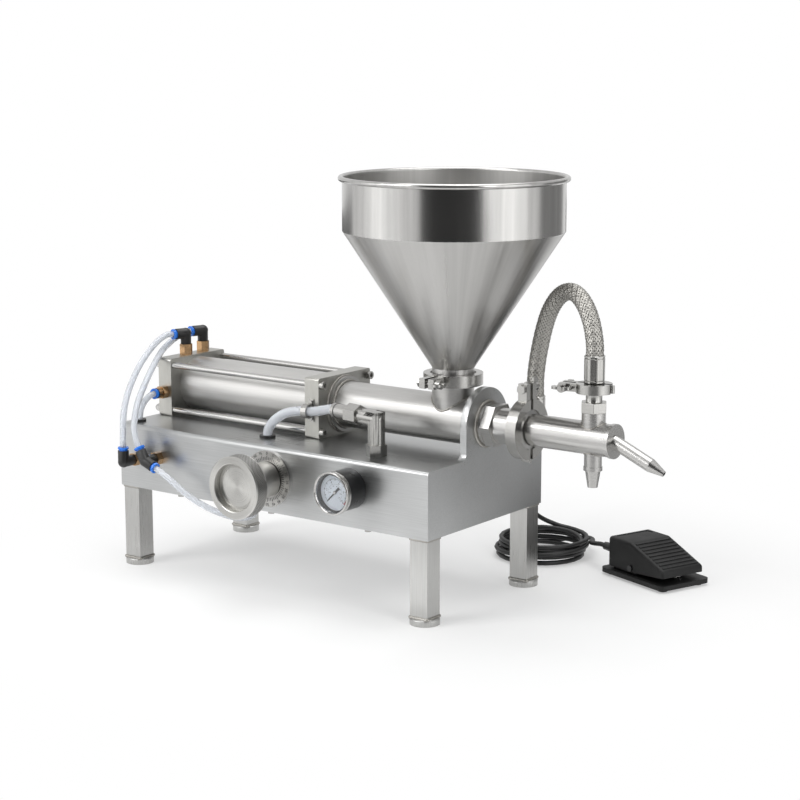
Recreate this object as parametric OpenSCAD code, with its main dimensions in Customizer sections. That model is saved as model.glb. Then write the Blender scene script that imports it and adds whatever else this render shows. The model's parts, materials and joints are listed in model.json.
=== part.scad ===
// Horizontal paste filling machine: an air cylinder drives a product piston
// under a hopper, and the paste leaves through a nozzle at the right-hand end.
// Millimetres, +Z up, +X towards the nozzle, the front panel faces -Y.
// The origin is on the table, in the middle of the four feet.

/* [Base box] */
// Length of the box
box_l = 490; // [480:2:520]
// Width of the box, front to back
box_w = 240; // [230:2:260]
// Height of the box
box_h = 82; // [78:1:100]
// Height of the box's underside above the table
box_lift = 104; // [90:1:140]
// Thickness of the folded sheet
sheet_t = 2; // [1.5:0.5:3]
// Radius of the long top bends
bend_r = 5; // [4:1:10]
// Width of the flange round the open underside, along the sides
side_flange = 14; // [12:1:20]
// Width of the flange at the two ends, which carries the legs
end_flange = 33; // [30:1:40]
// Thickness of the bottom cover
cover_t = 2; // [1.5:0.5:3]
// Gap between the edge of the bottom cover and the side of the box
cover_inset = 8; // [6:1:9]

/* [Legs] */
// Side of the square leg tube
leg_w = 25; // [20:1:30]
// Wall of the leg tube
leg_wall = 1.5; // [1:0.5:2.5]
// Distance from the box's edge to the leg
leg_inset = 2.5; // [1:0.5:5]
// Diameter of the round foot welded to the leg
foot_d = 36; // [34:1:44]
// Thickness of the foot
foot_t = 8; // [6:1:12]
// Bevel round the foot
foot_bevel = 1.5; // [0.5:0.5:2]

/* [Air cylinder] */
// Distance from the box's left end to the rear cap
rear_inset = 5; // [3:1:12]
// Thickness of each cap along the machine
cap_t = 22; // [20:1:26]
// Width of each cap, front to back
cap_w = 104; // [100:1:112]
// Height of each cap
cap_h = 76; // [74:1:84]
// Radius of the caps' corners
cap_r = 3; // [2:0.5:5]
// Length of the barrel
barrel_l = 225; // [215:1:240]
// Outer diameter of the barrel
barrel_d = 70; // [69:0.5:73]
// Bore of the barrel
barrel_bore = 63; // [60:1:64]
// Length of the spigot that centres the barrel
spigot_l = 4; // [3:0.5:5]
// Diameter of the tie rods
rod_d = 8; // [7:0.5:9]
// Diameter of the tie rods' threaded ends
rod_end_d = 6; // [5:0.5:6]
// Distance between the front and back tie rods
rod_pitch_y = 94; // [90:1:95]
// Distance between the upper and lower tie rods
rod_pitch_z = 59; // [56:1:62]
// Width across flats of the dome nuts
dome_af = 10; // [9:1:12]
// Height of the dome nuts' hexagon
dome_h = 5; // [4:0.5:6]

/* [Piston] */
// Stroke of the pistons
stroke = 110; // [60:5:112]
// Diameter of the piston rod
shaft_d = 16; // [14:1:20]
// Diameter of the rod's ends, where the pistons sit
shaft_end_d = 12; // [10:1:13]
// Thickness of the air piston
air_piston_t = 25; // [22:1:28]
// Gap behind the air piston when it is drawn back
rear_gap = 6; // [5:0.5:10]
// Thickness of the product piston
product_piston_t = 22; // [20:1:26]
// Gap between the front cap and the product piston when it is drawn back
front_gap = 7; // [2:0.5:12]
// Running clearance of a piston or shaft, on the radius
run_gap = 0.05; // [0.03:0.01:0.09]
// Height of a piston seal's section
seal_h = 3; // [2:0.5:4]
// Width of a piston seal
seal_w = 4; // [3:0.5:5]
// Width across flats of the piston nuts
piston_nut_af = 19; // [18:1:21]
// Thickness of the piston nuts
piston_nut_t = 7; // [5:0.5:8]

/* [Product cylinder] */
// Outer diameter of the product cylinder
product_d = 57.5; // [56:0.5:60]
// Bore of the product cylinder
product_bore = 50; // [46:1:51]
// Diameter of the flange ring at the front cap
flange_d = 70; // [66:1:74]
// Thickness of the flange ring
flange_t = 5; // [4:0.5:7]
// Outer diameter of the upright inlet stub
stub_d = 50.8; // [48:0.4:52]
// Bore of the upright inlet stub
stub_bore = 47.4; // [44:0.2:47.4]
// Distance from the box's right end to the inlet
inlet_inset = 50; // [46:1:60]
// Height of the inlet ferrule's face above the cylinder's axis
inlet_rise = 49; // [47:1:56]
// Thickness of the end plate
plate_t = 9; // [8:0.5:12]
// Radius of the end plate's round top
plate_r = 43.5; // [40:0.5:46]
// Radius of the fillet at the end plate's foot
plate_fillet = 8; // [4:1:12]

/* [Hopper] */
// Diameter of the hopper's straight band
hopper_d = 264.8; // [240:2:300]
// Height of the straight band
band_h = 62; // [50:1:80]
// Height of the cone
cone_h = 164; // [140:1:190]
// Height of the neck above the ferrule's face
neck_h = 12; // [10:1:16]
// Wall of the hopper
hopper_wall = 1.5; // [1:0.25:2.5]
// Diameter of the rolled bead round the rim
bead_d = 6.4; // [5:0.2:8]

/* [Clamp joints] */
// Diameter of the large ferrules
ferrule_d = 64; // [62:0.5:68]
// Thickness of a ferrule's rim
ferrule_t = 3; // [2.5:0.25:3.5]
// Thickness of a joint gasket
gasket_t = 2; // [1.5:0.25:2.5]
// Depth of the cone behind a ferrule's rim
ferrule_cone = 2; // [1.5:0.25:2.5]
// Diameter of the large clamp bands
clamp_d = 72; // [70:0.5:76]
// Width of the clamp bands
clamp_w = 14; // [13:0.5:16]
// Diameter of the small ferrules on the hose
small_ferrule_d = 34; // [32:0.5:36]
// Diameter of the small clamp band
small_clamp_d = 42; // [41:0.5:46]
// Reach of the clamp ears from the band
ear_l = 19; // [18:0.5:22]
// Thickness of one clamp ear
ear_t = 8; // [7:0.5:9]
// Gap between the two ears
ear_gap = 5; // [4:0.5:6]
// Diameter of the clamp bolts
clamp_bolt_d = 6; // [5:0.5:6.5]
// Span of the wing nuts
wing_span = 24; // [22:1:25]

/* [Outlet and nozzle] */
// Outer diameter of the outlet tube
outlet_d = 43; // [41:0.5:45]
// Bore of the outlet tube
outlet_bore = 34; // [32:1:36]
// Length of the outlet tube from the end plate to its ferrule's face
outlet_l = 55; // [54:1:60]
// Width across flats of the big outlet nut
outlet_nut_af = 48; // [46:1:52]
// Thickness of the big outlet nut
outlet_nut_t = 13; // [10:1:14]
// Gap between the end plate and the outlet nut
outlet_nut_gap = 7; // [5:0.5:8]
// Outer diameter of the nozzle tube
nozzle_d = 38; // [36:0.5:40]
// Bore of the nozzle tube
nozzle_bore = 33; // [30:1:34]
// Length of the nozzle tube
nozzle_l = 115; // [105:1:130]
// Distance from the nozzle's far end to its two side ports
port_inset = 25; // [22:1:30]
// Diameter of the upper port
upper_port_d = 28; // [26:1:30]
// Height of the upper port above the axis
upper_port_rise = 31; // [28:1:36]
// Diameter of the lower port
lower_port_d = 20.6; // [18:0.2:22]
// Length of the lower port below the axis
lower_port_drop = 32.5; // [30:0.5:38]
// Diameter of the disc that closes the nozzle tube
end_disc_d = 40.4; // [39:0.2:43]
// Thickness of that disc
end_disc_t = 4.5; // [3:0.5:6]
// Diameter of the angled spout
spout_d = 16; // [14:0.5:18]
// Bore of the angled spout
spout_bore = 10; // [8:0.5:11]
// Length of the angled spout, taper included
spout_l = 72; // [60:1:90]
// Length of the spout's taper
spout_taper = 19; // [14:1:24]
// Diameter of the spout's tip
spout_tip_d = 6.6; // [6:0.2:8]
// Bore of the spout's tip
spout_tip_bore = 3.6; // [3:0.2:4.4]
// Slope of the spout below the level, in degrees
spout_slope = 24; // [15:1:35]
// Diameter of the drip tip's collar
tip_collar_d = 22; // [21:0.5:24]
// Height of the drip tip's collar
tip_collar_h = 4.5; // [3:0.5:6]
// Length of the drip tip's taper
tip_l = 20; // [16:1:26]
// Diameter at the top of the drip tip's taper
tip_top_d = 18; // [16:0.5:19]
// Diameter of the drip tip's end
tip_end_d = 11.6; // [10:0.2:13]
// Bore of the drip tip
tip_bore = 5; // [4:0.5:7]

/* [Hose] */
// Diameter of the braided hose
hose_d = 21; // [19:0.5:22]
// Diameter of the crimped sleeves
sleeve_d = 23.6; // [22.6:0.2:25]
// Length of the upper crimped sleeve
sleeve_l = 32; // [28:1:36]
// Length of the lower crimped sleeve
lower_sleeve_l = 16; // [12:1:18]
// Diameter of the hose elbow
hose_elbow_d = 18; // [17:0.5:19]
// Bore of the hose elbow
hose_bore = 12; // [10:0.5:13]
// Height of the elbow's end above the axis
hose_elbow_rise = 16; // [14:1:18]
// Distance from the outlet's axis back to the hose
hose_back = 44; // [42:1:48]
// Distance from the outlet tube's ferrule face back to the hose
hose_inset = 16; // [15:0.5:17]
// Width across flats of the hose port's nut
port_nut_af = 28; // [26:1:30]
// Thickness of the hose port's nut
port_nut_t = 12; // [10:1:14]
// Diameter of the neck above the nut
port_neck_d = 19; // [17:0.5:21]
// Length of the neck above the nut
port_neck_l = 12; // [10:1:14]

/* [Check valves] */
// Lift of each check valve
valve_lift = 7; // [4:0.5:8]
// Diameter of the inlet seat
inlet_seat_d = 34; // [30:1:36]
// Diameter of the inlet valve's disc
inlet_disc_d = 40; // [38:0.5:42]
// Diameter of the outlet seat
outlet_seat_d = 24; // [20:1:26]
// Diameter of the outlet valve's disc
outlet_disc_d = 30; // [28:0.5:31]
// Thickness of a valve disc
valve_disc_t = 3; // [2:0.5:4]
// Diameter of a valve stem
valve_stem_d = 6; // [5:0.5:7]
// Thickness of a seat ring or guide bridge
bridge_t = 3; // [2.5:0.25:4]
// Wire of the valve springs
valve_wire_d = 1.4; // [1:0.1:1.6]
// Diameter of the valve springs, to the middle of the wire
valve_spring_d = 14; // [12:0.5:16]

/* [Handwheel] */
// Distance of the handwheel's axis from the middle of the box
wheel_x = 5; // [-20:1:30]
// Height of the handwheel's axis above the box's underside
wheel_rise = 42; // [38:1:44]
// Diameter of the knurled rim
wheel_d = 77; // [70:1:80]
// Depth of the knurled rim
wheel_rim_t = 20; // [16:1:24]
// Diameter of the recess in the wheel's face
wheel_recess_d = 58; // [50:1:62]
// Depth of the recess
wheel_recess_h = 9; // [6:1:12]
// Diameter of the hub behind the rim
hub_d = 44; // [38:1:48]
// Length of the hub
hub_l = 42; // [36:1:48]
// Number of flutes round the rim
flute_n = 60; // [40:1:72]
// Depth of a flute
flute_h = 0.6; // [0.4:0.1:1]
// Diameter of the dial plate on the panel
dial_d = 70; // [66:1:74]
// Thickness of the dial plate
dial_t = 3; // [2:0.5:4]
// Diameter of the handwheel's shaft
wheel_shaft_d = 10; // [8:0.5:12]
// Gap between the hub and the dial plate
hub_gap = 1; // [0.5:0.5:2]

/* [Gauge] */
// Distance of the gauge from the middle of the box
gauge_x = 131; // [120:1:150]
// Height of the gauge's centre above the box's underside
gauge_rise = 47.5; // [40:0.5:50]
// Diameter of the gauge's bezel
gauge_d = 52; // [50:1:54]
// Diameter of the gauge's case
gauge_case_d = 49; // [46:1:49.5]
// Depth of the gauge's case
gauge_case_h = 33; // [28:1:38]
// Depth of the bezel
bezel_h = 8; // [6:0.5:10]
// Thickness of the gauge's lens
lens_t = 1.5; // [1:0.25:2]
// Length of the gauge's needle
needle_l = 17; // [14:0.5:18]

/* [Air fittings] */
// Diameter of the air tubes
tube_d = 8; // [7:0.5:8]
// Diameter of the fittings' bodies and collars
fitting_d = 14; // [13.6:0.2:15]
// Width across flats of the brass hexagons
brass_af = 15; // [14:0.5:17]
// Height of the brass hexagons on the rear cap
brass_h = 14; // [12:1:16]
// Height of the brass hexagons on the panel
panel_brass_h = 9; // [8:0.5:12]
// Diameter of the brass threads
brass_thread_d = 9.6; // [8:0.2:10]
// Distance from a fitting's corner to its mouth
fitting_reach = 15; // [14:0.5:17]
// Height of the upper elbows' corners above the rear cap
elbow_rise = 28; // [26:1:32]
// Distance from the panel to the front fittings' corners
panel_reach = 25; // [22:1:28]
// Travel of a release collar
collar_travel = 1.5; // [1:0.25:2]
// Thickness of a release collar's flange
collar_t = 2.4; // [2:0.2:3]

/* [Supply tube] */
// Diameter of the clear supply tube
supply_d = 12; // [10:0.5:12]
// Distance of the supply elbow from the middle of the box
supply_x = 143; // [135:1:150]
// Distance of the supply elbow from the middle line
supply_y = 84; // [80:1:88]
// Height of the supply elbow's arm above the box
supply_rise = 45; // [42:1:48]
// Diameter of the supply elbow
supply_elbow_d = 17.6; // [16:0.2:19]
// Width across flats of the supply elbow's nuts
supply_nut_af = 22; // [20:1:24]

/* [Foot switch] */
// Length of the foot switch's base
pedal_l = 120; // [116:1:130]
// Width of the foot switch's base
pedal_w = 80; // [76:1:86]
// Thickness of the foot switch's base plate
pedal_base_t = 6; // [5:0.5:7]
// Height of the rubber feet below it
pedal_foot_h = 3; // [2:0.5:4]
// Width of the treadle
treadle_w = 67; // [66:1:72]
// Height of the treadle's heel above the floor
treadle_h = 50; // [49:0.5:53]
// Height of the treadle's toe above the floor
treadle_toe_h = 25.5; // [25:0.5:28]
// Wall of the treadle
treadle_wall = 3; // [2.5:0.5:3]
// Swing of the treadle, in degrees
treadle_swing = 5; // [3:0.5:5]
// Diameter of the treadle's pin
pedal_pin_d = 5; // [4:0.5:6]
// Number of grip ribs on the treadle
rib_n = 9; // [6:1:11]

/* [Cord] */
// Diameter of the foot switch's cord
cord_d = 6.2; // [6:0.1:6.2]
// Radius of the coil to the middle of its outer turn
coil_r = 60; // [55:1:60]

/* [Hidden] */
$fn = 64;

// One overrun serves all the cuts
over = 1;
// Clearance of a fixed part in its hole, on the radius
fit_gap = 0.1;
// Clearance between pieces that slide past each other loosely
slide_gap = 0.3;

// Heights and stations along the machine
box_top = box_lift + box_h;
axis_z = box_top + cap_h / 2;
front_y = -box_w / 2;
rear_cap_x = -box_l / 2 + rear_inset;
barrel_x = rear_cap_x + cap_t;
front_cap_x = barrel_x + barrel_l;
flange_x = front_cap_x + cap_t;
plate_x = box_l / 2 - plate_t;
outlet_x = box_l / 2;
inlet_x = box_l / 2 - inlet_inset;
ferrule_x = outlet_x + outlet_l;
nozzle_x = ferrule_x + gasket_t;
disc_x = nozzle_x + nozzle_l;
port_x = disc_x - port_inset;
hose_x = ferrule_x - hose_inset;
air_piston_x = barrel_x + rear_gap;
product_piston_x = flange_x + front_gap;
inlet_face_z = axis_z + inlet_rise;
hopper_face_z = inlet_face_z + gasket_t;
port_nut_z = axis_z + upper_port_rise;
port_face_z = port_nut_z + port_nut_t + port_neck_l + ferrule_t;
hose_face_z = port_face_z + gasket_t;
sleeve_z = hose_face_z + ferrule_t + ferrule_cone;
hose_top_z = sleeve_z + sleeve_l;
hose_end_z = axis_z + hose_elbow_rise + lower_sleeve_l;
wheel_z = box_lift + wheel_rise;
gauge_z = box_lift + gauge_rise;
cap_top_z = axis_z + cap_h / 2;
cap_front_y = -cap_w / 2;
cap_mid_x = rear_cap_x + cap_t / 2;
port_a = [cap_mid_x, -10.5, cap_top_z + elbow_rise];
port_b = [cap_mid_x, 22.5, cap_top_z + elbow_rise];
port_c = [cap_mid_x, cap_front_y, axis_z - 6];
port_d = [-box_l / 2 + 29, front_y - panel_reach, box_lift + 38];
port_ef = [-box_l / 2 + 67, front_y - panel_reach, box_lift + 44];
hold_down_x = [cap_mid_x, front_cap_x + cap_t / 2];
inlet_spring_h = 8;
leg_x = box_l / 2 - leg_inset - leg_w / 2;
leg_y = box_w / 2 - leg_inset - leg_w / 2;

// Sizes of small features, kept by the piece that carries them
cap_screw_head_d = 10;
cap_screw_head_h = 6;
cap_screw_reach = 10;
hex_socket_af = 5;
hex_socket_h = 3;
cap_port_h = 10;
passage_d = 5;
o_ring_w = 2;
rod_seal_h = 4;
rod_seal_w = 5;
floor_screw_d = 4;
floor_screw_head_d = 8;
floor_screw_head_h = 2.2;
floor_screw_reach = 5;
floor_screw_x = 150;
cover_lap = 1;
cover_l = box_l - 2 * (end_flange - cover_lap);
cover_w = box_w - 2 * cover_inset;
floor_screw_row = box_w / 2 - side_flange + floor_screw_head_d / 2;
hold_down_d = 6;
hold_down_head_d = 11;
hold_down_head_h = 5;
hold_down_reach = 12;
hold_down_y = 28;
grommet_x = -32;
grommet_inset = 42;
grommet_y = grommet_inset - box_w / 2;
small_grommet_x = -230;
small_grommet_inset = 21;
small_grommet_y = small_grommet_inset - box_w / 2;
floor_grommet_x = -34;
floor_grommet_inset = 24;
floor_grommet_y = floor_grommet_inset - box_w / 2;
gland_x = 200;
gland_z = 114;
gland_hex_af = 20;
gland_hex_t = 6;
gland_nose_l = 14;
gauge_stem_d = 13;
gauge_nut_af = 17;
gauge_stem_l = 18;
axle_x = -8;
axle_z = 17;
plunger_x = 18;

// A tube or bar along a row axis, seen from its start
module to_x(x) { translate([x, 0, axis_z]) rotate([0, 90, 0]) children(); }
module to_front(x, y, z) { translate([x, y, z]) rotate([90, 0, 0]) children(); }
module section_x(x, l) { translate([x, 0, 0]) rotate([90, 0, 90]) linear_extrude(l) children(); }
module aim(p, d) {
    u = d / norm(d);
    translate(p) rotate([0, acos(u[2]), atan2(u[1], u[0])]) children();
}
module ring(d_out, d_in, h) {
    difference() {
        cylinder(d = d_out, h = h);
        translate([0, 0, -over]) cylinder(d = d_in, h = h + 2 * over);
    }
}
module hexagon(af, h) { cylinder(d = af / cos(30), h = h, $fn = 6); }
module hex_nut(af, d_in, h) {
    difference() {
        hexagon(af, h);
        translate([0, 0, -over]) cylinder(d = d_in, h = h + 2 * over);
    }
}
module round_rect(w, h, r) {
    square([w - 2 * r, h], center = true);
    square([w, h - 2 * r], center = true);
    for (x = [-1, 1], y = [-1, 1]) translate([x * (w / 2 - r), y * (h / 2 - r)]) circle(r = r);
}

// Sweeping a round tube along a list of points
function unit(v) = v / norm(v);
function heading(p, i) =
    unit(i == 0 ? p[1] - p[0] : i == len(p) - 1 ? p[i] - p[i - 1] : p[i + 1] - p[i - 1]);
function side_of(d) = abs(d[2]) < 0.9 ? cross(d, [0, 0, 1]) : cross(d, [0, 1, 0]);
function frames(p, i = 0, u = undef, out = []) =
    i == len(p) ? out
    : let(
          d = heading(p, i),
          s = is_undef(u) ? side_of(d) : u,
          n = unit(s - (s * d) * d)
      ) frames(p, i + 1, n, concat(out, [[n, cross(d, n)]]));
function bend_between(a, b, c, d, t) =
    0.5 * (2 * b + (c - a) * t + (2 * a - 5 * b + 4 * c - d) * t * t
        + (3 * b - a - 3 * c + d) * t * t * t);
function smooth(p, steps) = [
    for (i = [0:len(p) - 2], k = [0:steps - 1])
        bend_between(
            i == 0 ? 2 * p[0] - p[1] : p[i - 1], p[i], p[i + 1],
            i == len(p) - 2 ? 2 * p[i + 1] - p[i] : p[i + 2], k / steps),
    p[len(p) - 1],
];
module swept(p, d, sides) {
    f = frames(p);
    n = len(p);
    points = [
        for (i = [0:n - 1], k = [0:sides - 1])
            p[i] + d / 2 * (cos(360 * k / sides) * f[i][0] + sin(360 * k / sides) * f[i][1])
    ];
    walls = [
        for (i = [0:n - 2], k = [0:sides - 1], half = [0, 1])
            let(a = i * sides + k, b = i * sides + (k + 1) % sides)
                half == 0 ? [a, a + sides, b + sides] : [a, b + sides, b]
    ];
    first_end = [for (k = [1:sides - 2]) [0, k, k + 1]];
    last = (n - 1) * sides;
    last_end = [for (k = [1:sides - 2]) [last, last + k + 1, last + k]];
    polyhedron(points = points, faces = concat(walls, first_end, last_end));
}
function reach(p) = len(p) < 2 ? 0 : sum_of([for (i = [1:len(p) - 1]) norm(p[i] - p[i - 1])]);
function sum_of(v, i = 0, s = 0) = i == len(v) ? s : sum_of(v, i + 1, s + v[i]);
function least_gap(p, d, skip) = min([
    for (i = [0:len(p) - 1], j = [i + skip:1:len(p) - 1]) norm(p[i] - p[j])
]) - d;

// The folded box, open below, with every hole that a fitting passes through
module box_section(t) {
    r = bend_r - min(t, bend_r - over);
    w = box_w / 2 - t;
    h = box_h - t;
    translate([-w, t]) square([2 * w, h - t - r]);
    translate([-w + r, t]) square([2 * (w - r), h - t]);
    for (s = [-1, 1]) translate([s * (w - r), h - r]) circle(r = r);
}
front_holes = [
    [wheel_x, wheel_z, wheel_shaft_d + 2 * fit_gap],
    [gauge_x, gauge_z, gauge_stem_d + 2 * fit_gap],
    [port_d[0], port_d[2], brass_thread_d + 2 * fit_gap],
    [port_ef[0], port_ef[2], brass_thread_d + 2 * fit_gap],
];
supply_stud_d = 12;
grommet_d = 16;
small_grommet_d = 12;
top_holes = concat(
    [
        [supply_x, -supply_y, supply_stud_d + 2 * fit_gap],
        [grommet_x, grommet_y, grommet_d],
        [small_grommet_x, small_grommet_y, small_grommet_d],
    ],
    [for (x = hold_down_x, s = [-1, 1]) [x, s * hold_down_y, hold_down_d + 2 * fit_gap]]
);
module base_housing() {
    color("silver") difference() {
        section_x(-box_l / 2, box_l) translate([0, box_lift]) box_section(0);
        section_x(-box_l / 2 + sheet_t, box_l - 2 * sheet_t)
            translate([0, box_lift]) box_section(sheet_t);
        translate([-box_l / 2 + end_flange, -box_w / 2 + side_flange, box_lift - over])
            cube([box_l - 2 * end_flange, box_w - 2 * side_flange, sheet_t + 2 * over]);
        for (h = front_holes)
            to_front(h[0], front_y + sheet_t + over, h[1]) cylinder(d = h[2], h = sheet_t + 2 * over);
        for (h = top_holes)
            translate([h[0], h[1], box_top - sheet_t - over]) cylinder(d = h[2], h = sheet_t + 2 * over);
        to_front(gland_x, box_w / 2 + over, gland_z)
            cylinder(d = supply_stud_d + 2 * fit_gap, h = sheet_t + 2 * over);
        for (x = [-1, 0, 1], s = [-1, 1])
            translate([x * floor_screw_x, s * floor_screw_row, box_lift - over])
                cylinder(d = floor_screw_d + 2 * fit_gap, h = sheet_t + 2 * over);
    }
}
module end_plate() {
    r = plate_fillet;
    color("silver") section_x(plate_x, plate_t) difference() {
        union() {
            intersection() {
                translate([0, axis_z]) circle(r = plate_r);
                translate([-plate_r, box_top]) square(2 * plate_r);
            }
            translate([-plate_r, box_top]) square([2 * plate_r, axis_z - box_top]);
            translate([-plate_r - r, box_top]) square([2 * (plate_r + r), r]);
        }
        for (s = [-1, 1]) translate([s * (plate_r + r), box_top + r]) circle(r = r);
        translate([0, axis_z]) circle(d = product_d);
    }
}
module bottom_cover() {
    color("silver") translate([0, 0, box_lift - cover_t]) difference() {
        linear_extrude(cover_t) square([cover_l, cover_w], center = true);
        for (x = [-1, 0, 1], s = [-1, 1])
            translate([x * floor_screw_x, s * floor_screw_row, -over])
                cylinder(d = floor_screw_d + 2 * fit_gap, h = cover_t + 2 * over);
        translate([floor_grommet_x, floor_grommet_y, -over])
            cylinder(d = small_grommet_d, h = cover_t + 2 * over);
    }
}
module legs() {
    inner = leg_w - 2 * leg_wall;
    color("silver") for (x = [-1, 1], y = [-1, 1]) translate([x * leg_x, y * leg_y, 0]) {
        difference() {
            translate([-leg_w / 2, -leg_w / 2, foot_t - over]) cube([leg_w, leg_w, box_lift - foot_t + over]);
            translate([-inner / 2, -inner / 2, foot_t]) cube([inner, inner, box_lift]);
        }
        cylinder(d = foot_d, h = foot_t - foot_bevel);
        translate([0, 0, foot_t - foot_bevel])
            cylinder(d1 = foot_d, d2 = foot_d - 2 * foot_bevel, h = foot_bevel);
    }
}
module socket_screw(d, head_d, head_h, reach) {
    difference() {
        cylinder(d = head_d, h = head_h);
        translate([0, 0, head_h - hex_socket_h]) hexagon(hex_socket_af, head_h);
    }
    translate([0, 0, -reach]) cylinder(d = d, h = reach + head_h / 4);
}
module machine_screws() {
    color("gainsboro") {
        for (y = [-1, 1], z = [-1, 1])
            translate([flange_x, y * rod_pitch_y / 2, axis_z + z * rod_pitch_z / 2]) rotate([0, 90, 0])
                socket_screw(rod_end_d, cap_screw_head_d, cap_screw_head_h, cap_t + cap_screw_reach);
        for (x = hold_down_x, s = [-1, 1])
            translate([x, s * hold_down_y, box_top - sheet_t]) rotate([180, 0, 0])
                socket_screw(hold_down_d, hold_down_head_d, hold_down_head_h, sheet_t + hold_down_reach);
        for (x = [-1, 0, 1], s = [-1, 1])
            translate([x * floor_screw_x, s * floor_screw_row, box_lift - cover_t]) rotate([180, 0, 0]) {
                cylinder(d = floor_screw_head_d, h = floor_screw_head_h);
                translate([0, 0, -floor_screw_reach]) cylinder(d = floor_screw_d, h = floor_screw_reach);
            }
    }
}

// The air cylinder: two caps, a barrel and four tie rods
module cap_plate(x) { section_x(x, cap_t) translate([0, axis_z]) round_rect(cap_w, cap_h, cap_r); }
module cap_holes(x) {
    for (y = [-1, 1], z = [-1, 1])
        translate([x - over, y * rod_pitch_y / 2, axis_z + z * rod_pitch_z / 2]) rotate([0, 90, 0])
            cylinder(d = rod_end_d + 2 * fit_gap, h = cap_t + 2 * over);
    for (s = [-1, 1])
        translate([x + cap_t / 2, s * hold_down_y, box_top - over])
            cylinder(d = hold_down_d, h = hold_down_reach + over);
}
spigot_d = barrel_bore - 2 * fit_gap;
module spigot(x) {
    to_x(x) difference() {
        cylinder(d = spigot_d, h = spigot_l);
        translate([0, 0, (spigot_l - o_ring_w) / 2]) ring(barrel_bore, barrel_bore - 2 * o_ring_w, o_ring_w);
    }
}
module rear_cap() {
    color("lightgray") difference() {
        union() {
            cap_plate(rear_cap_x);
            spigot(barrel_x);
        }
        cap_holes(rear_cap_x);
        for (p = [port_a, port_b])
            translate([p[0], p[1], cap_top_z - cap_port_h]) cylinder(d = brass_thread_d, h = cap_port_h + over);
        to_front(port_c[0], cap_front_y + cap_port_h, port_c[2])
            cylinder(d = brass_thread_d, h = cap_port_h + over);
        translate([port_a[0], port_a[1], axis_z]) cylinder(d = passage_d, h = cap_h / 2);
        translate([port_a[0], port_a[1], axis_z]) rotate([0, 90, 0])
            cylinder(d = passage_d, h = cap_t / 2 + spigot_l + over);
    }
}
clip_x = front_cap_x + cap_t / 2;
clip_z = axis_z - 2;
clip_y = cap_front_y - supply_d / 2 - 3;
clip_screw_d = 3;
clip_screw_gap = 10;
clip_screw_reach = 6;
module front_cap() {
    color("lightgray") difference() {
        union() {
            cap_plate(front_cap_x);
            spigot(front_cap_x - spigot_l);
        }
        cap_holes(front_cap_x);
        to_x(front_cap_x - spigot_l - over)
            cylinder(d = shaft_d + 2 * run_gap, h = cap_t + spigot_l + 2 * over);
        to_x(front_cap_x + cap_t - rod_seal_w) cylinder(d = shaft_d + 2 * rod_seal_h, h = rod_seal_w + over);
        for (s = [-1, 1])
            to_front(clip_x, cap_front_y + clip_screw_reach, clip_z + s * clip_screw_gap)
                cylinder(d = clip_screw_d, h = clip_screw_reach + over);
    }
}
module cylinder_barrel() { color("gainsboro") to_x(barrel_x) ring(barrel_d, barrel_bore, barrel_l); }
module tie_rods() {
    color("whitesmoke") for (y = [-1, 1], z = [-1, 1])
        translate([barrel_x, y * rod_pitch_y / 2, axis_z + z * rod_pitch_z / 2]) rotate([0, 90, 0]) {
            difference() {
                union() {
                    cylinder(d = rod_d, h = barrel_l);
                    translate([0, 0, -cap_t - dome_h]) cylinder(d = rod_end_d, h = cap_t + dome_h + over);
                }
                translate([0, 0, barrel_l - cap_screw_reach - over])
                    cylinder(d = rod_end_d, h = cap_screw_reach + 2 * over);
            }
            translate([0, 0, -cap_t]) rotate([180, 0, 0]) difference() {
                union() {
                    hexagon(dome_af, dome_h);
                    translate([0, 0, dome_h]) sphere(d = dome_af * cos(15));
                }
                translate([0, 0, -over]) cylinder(d = rod_end_d + 2 * fit_gap, h = dome_h + 2 * over);
            }
        }
}
module static_seals() {
    color("dimgray") {
        for (x = [barrel_x, front_cap_x - spigot_l])
            to_x(x + (spigot_l - o_ring_w) / 2)
                ring(barrel_bore - fit_gap, barrel_bore - 2 * o_ring_w, o_ring_w);
        to_x(front_cap_x + cap_t - rod_seal_w)
            ring(shaft_d + 2 * rod_seal_h, shaft_d + 2 * run_gap, rod_seal_w);
    }
    color("white") {
        translate([inlet_x, 0, inlet_face_z]) ring(ferrule_d, stub_bore, gasket_t);
        to_x(ferrule_x) ring(ferrule_d, outlet_bore, gasket_t);
        translate([port_x, 0, port_face_z]) ring(small_ferrule_d, hose_bore, gasket_t);
    }
}

// The piston, which carries the rod, both heads and their seals
air_piston_d = barrel_bore - 2 * run_gap;
product_piston_d = product_bore - 2 * run_gap;
nut_recess_d = piston_nut_af / cos(30) + 2;
nut_recess_h = piston_nut_t + over;
module piston_head(d, t) {
    difference() {
        cylinder(d = d, h = t);
        for (z = [t / 4, 3 * t / 4])
            translate([0, 0, z - seal_w / 2]) ring(d + 2 * over, d - 2 * seal_h, seal_w);
        translate([0, 0, -over]) cylinder(d = shaft_end_d, h = t + 2 * over);
    }
}
module air_piston() {
    color("silver") to_x(air_piston_x) difference() {
        piston_head(air_piston_d, air_piston_t);
        translate([0, 0, -over]) cylinder(d = nut_recess_d, h = nut_recess_h + over);
    }
}
module product_piston() {
    color("white") to_x(product_piston_x) difference() {
        piston_head(product_piston_d, product_piston_t);
        translate([0, 0, product_piston_t - nut_recess_h]) cylinder(d = nut_recess_d, h = nut_recess_h + over);
    }
}
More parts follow.
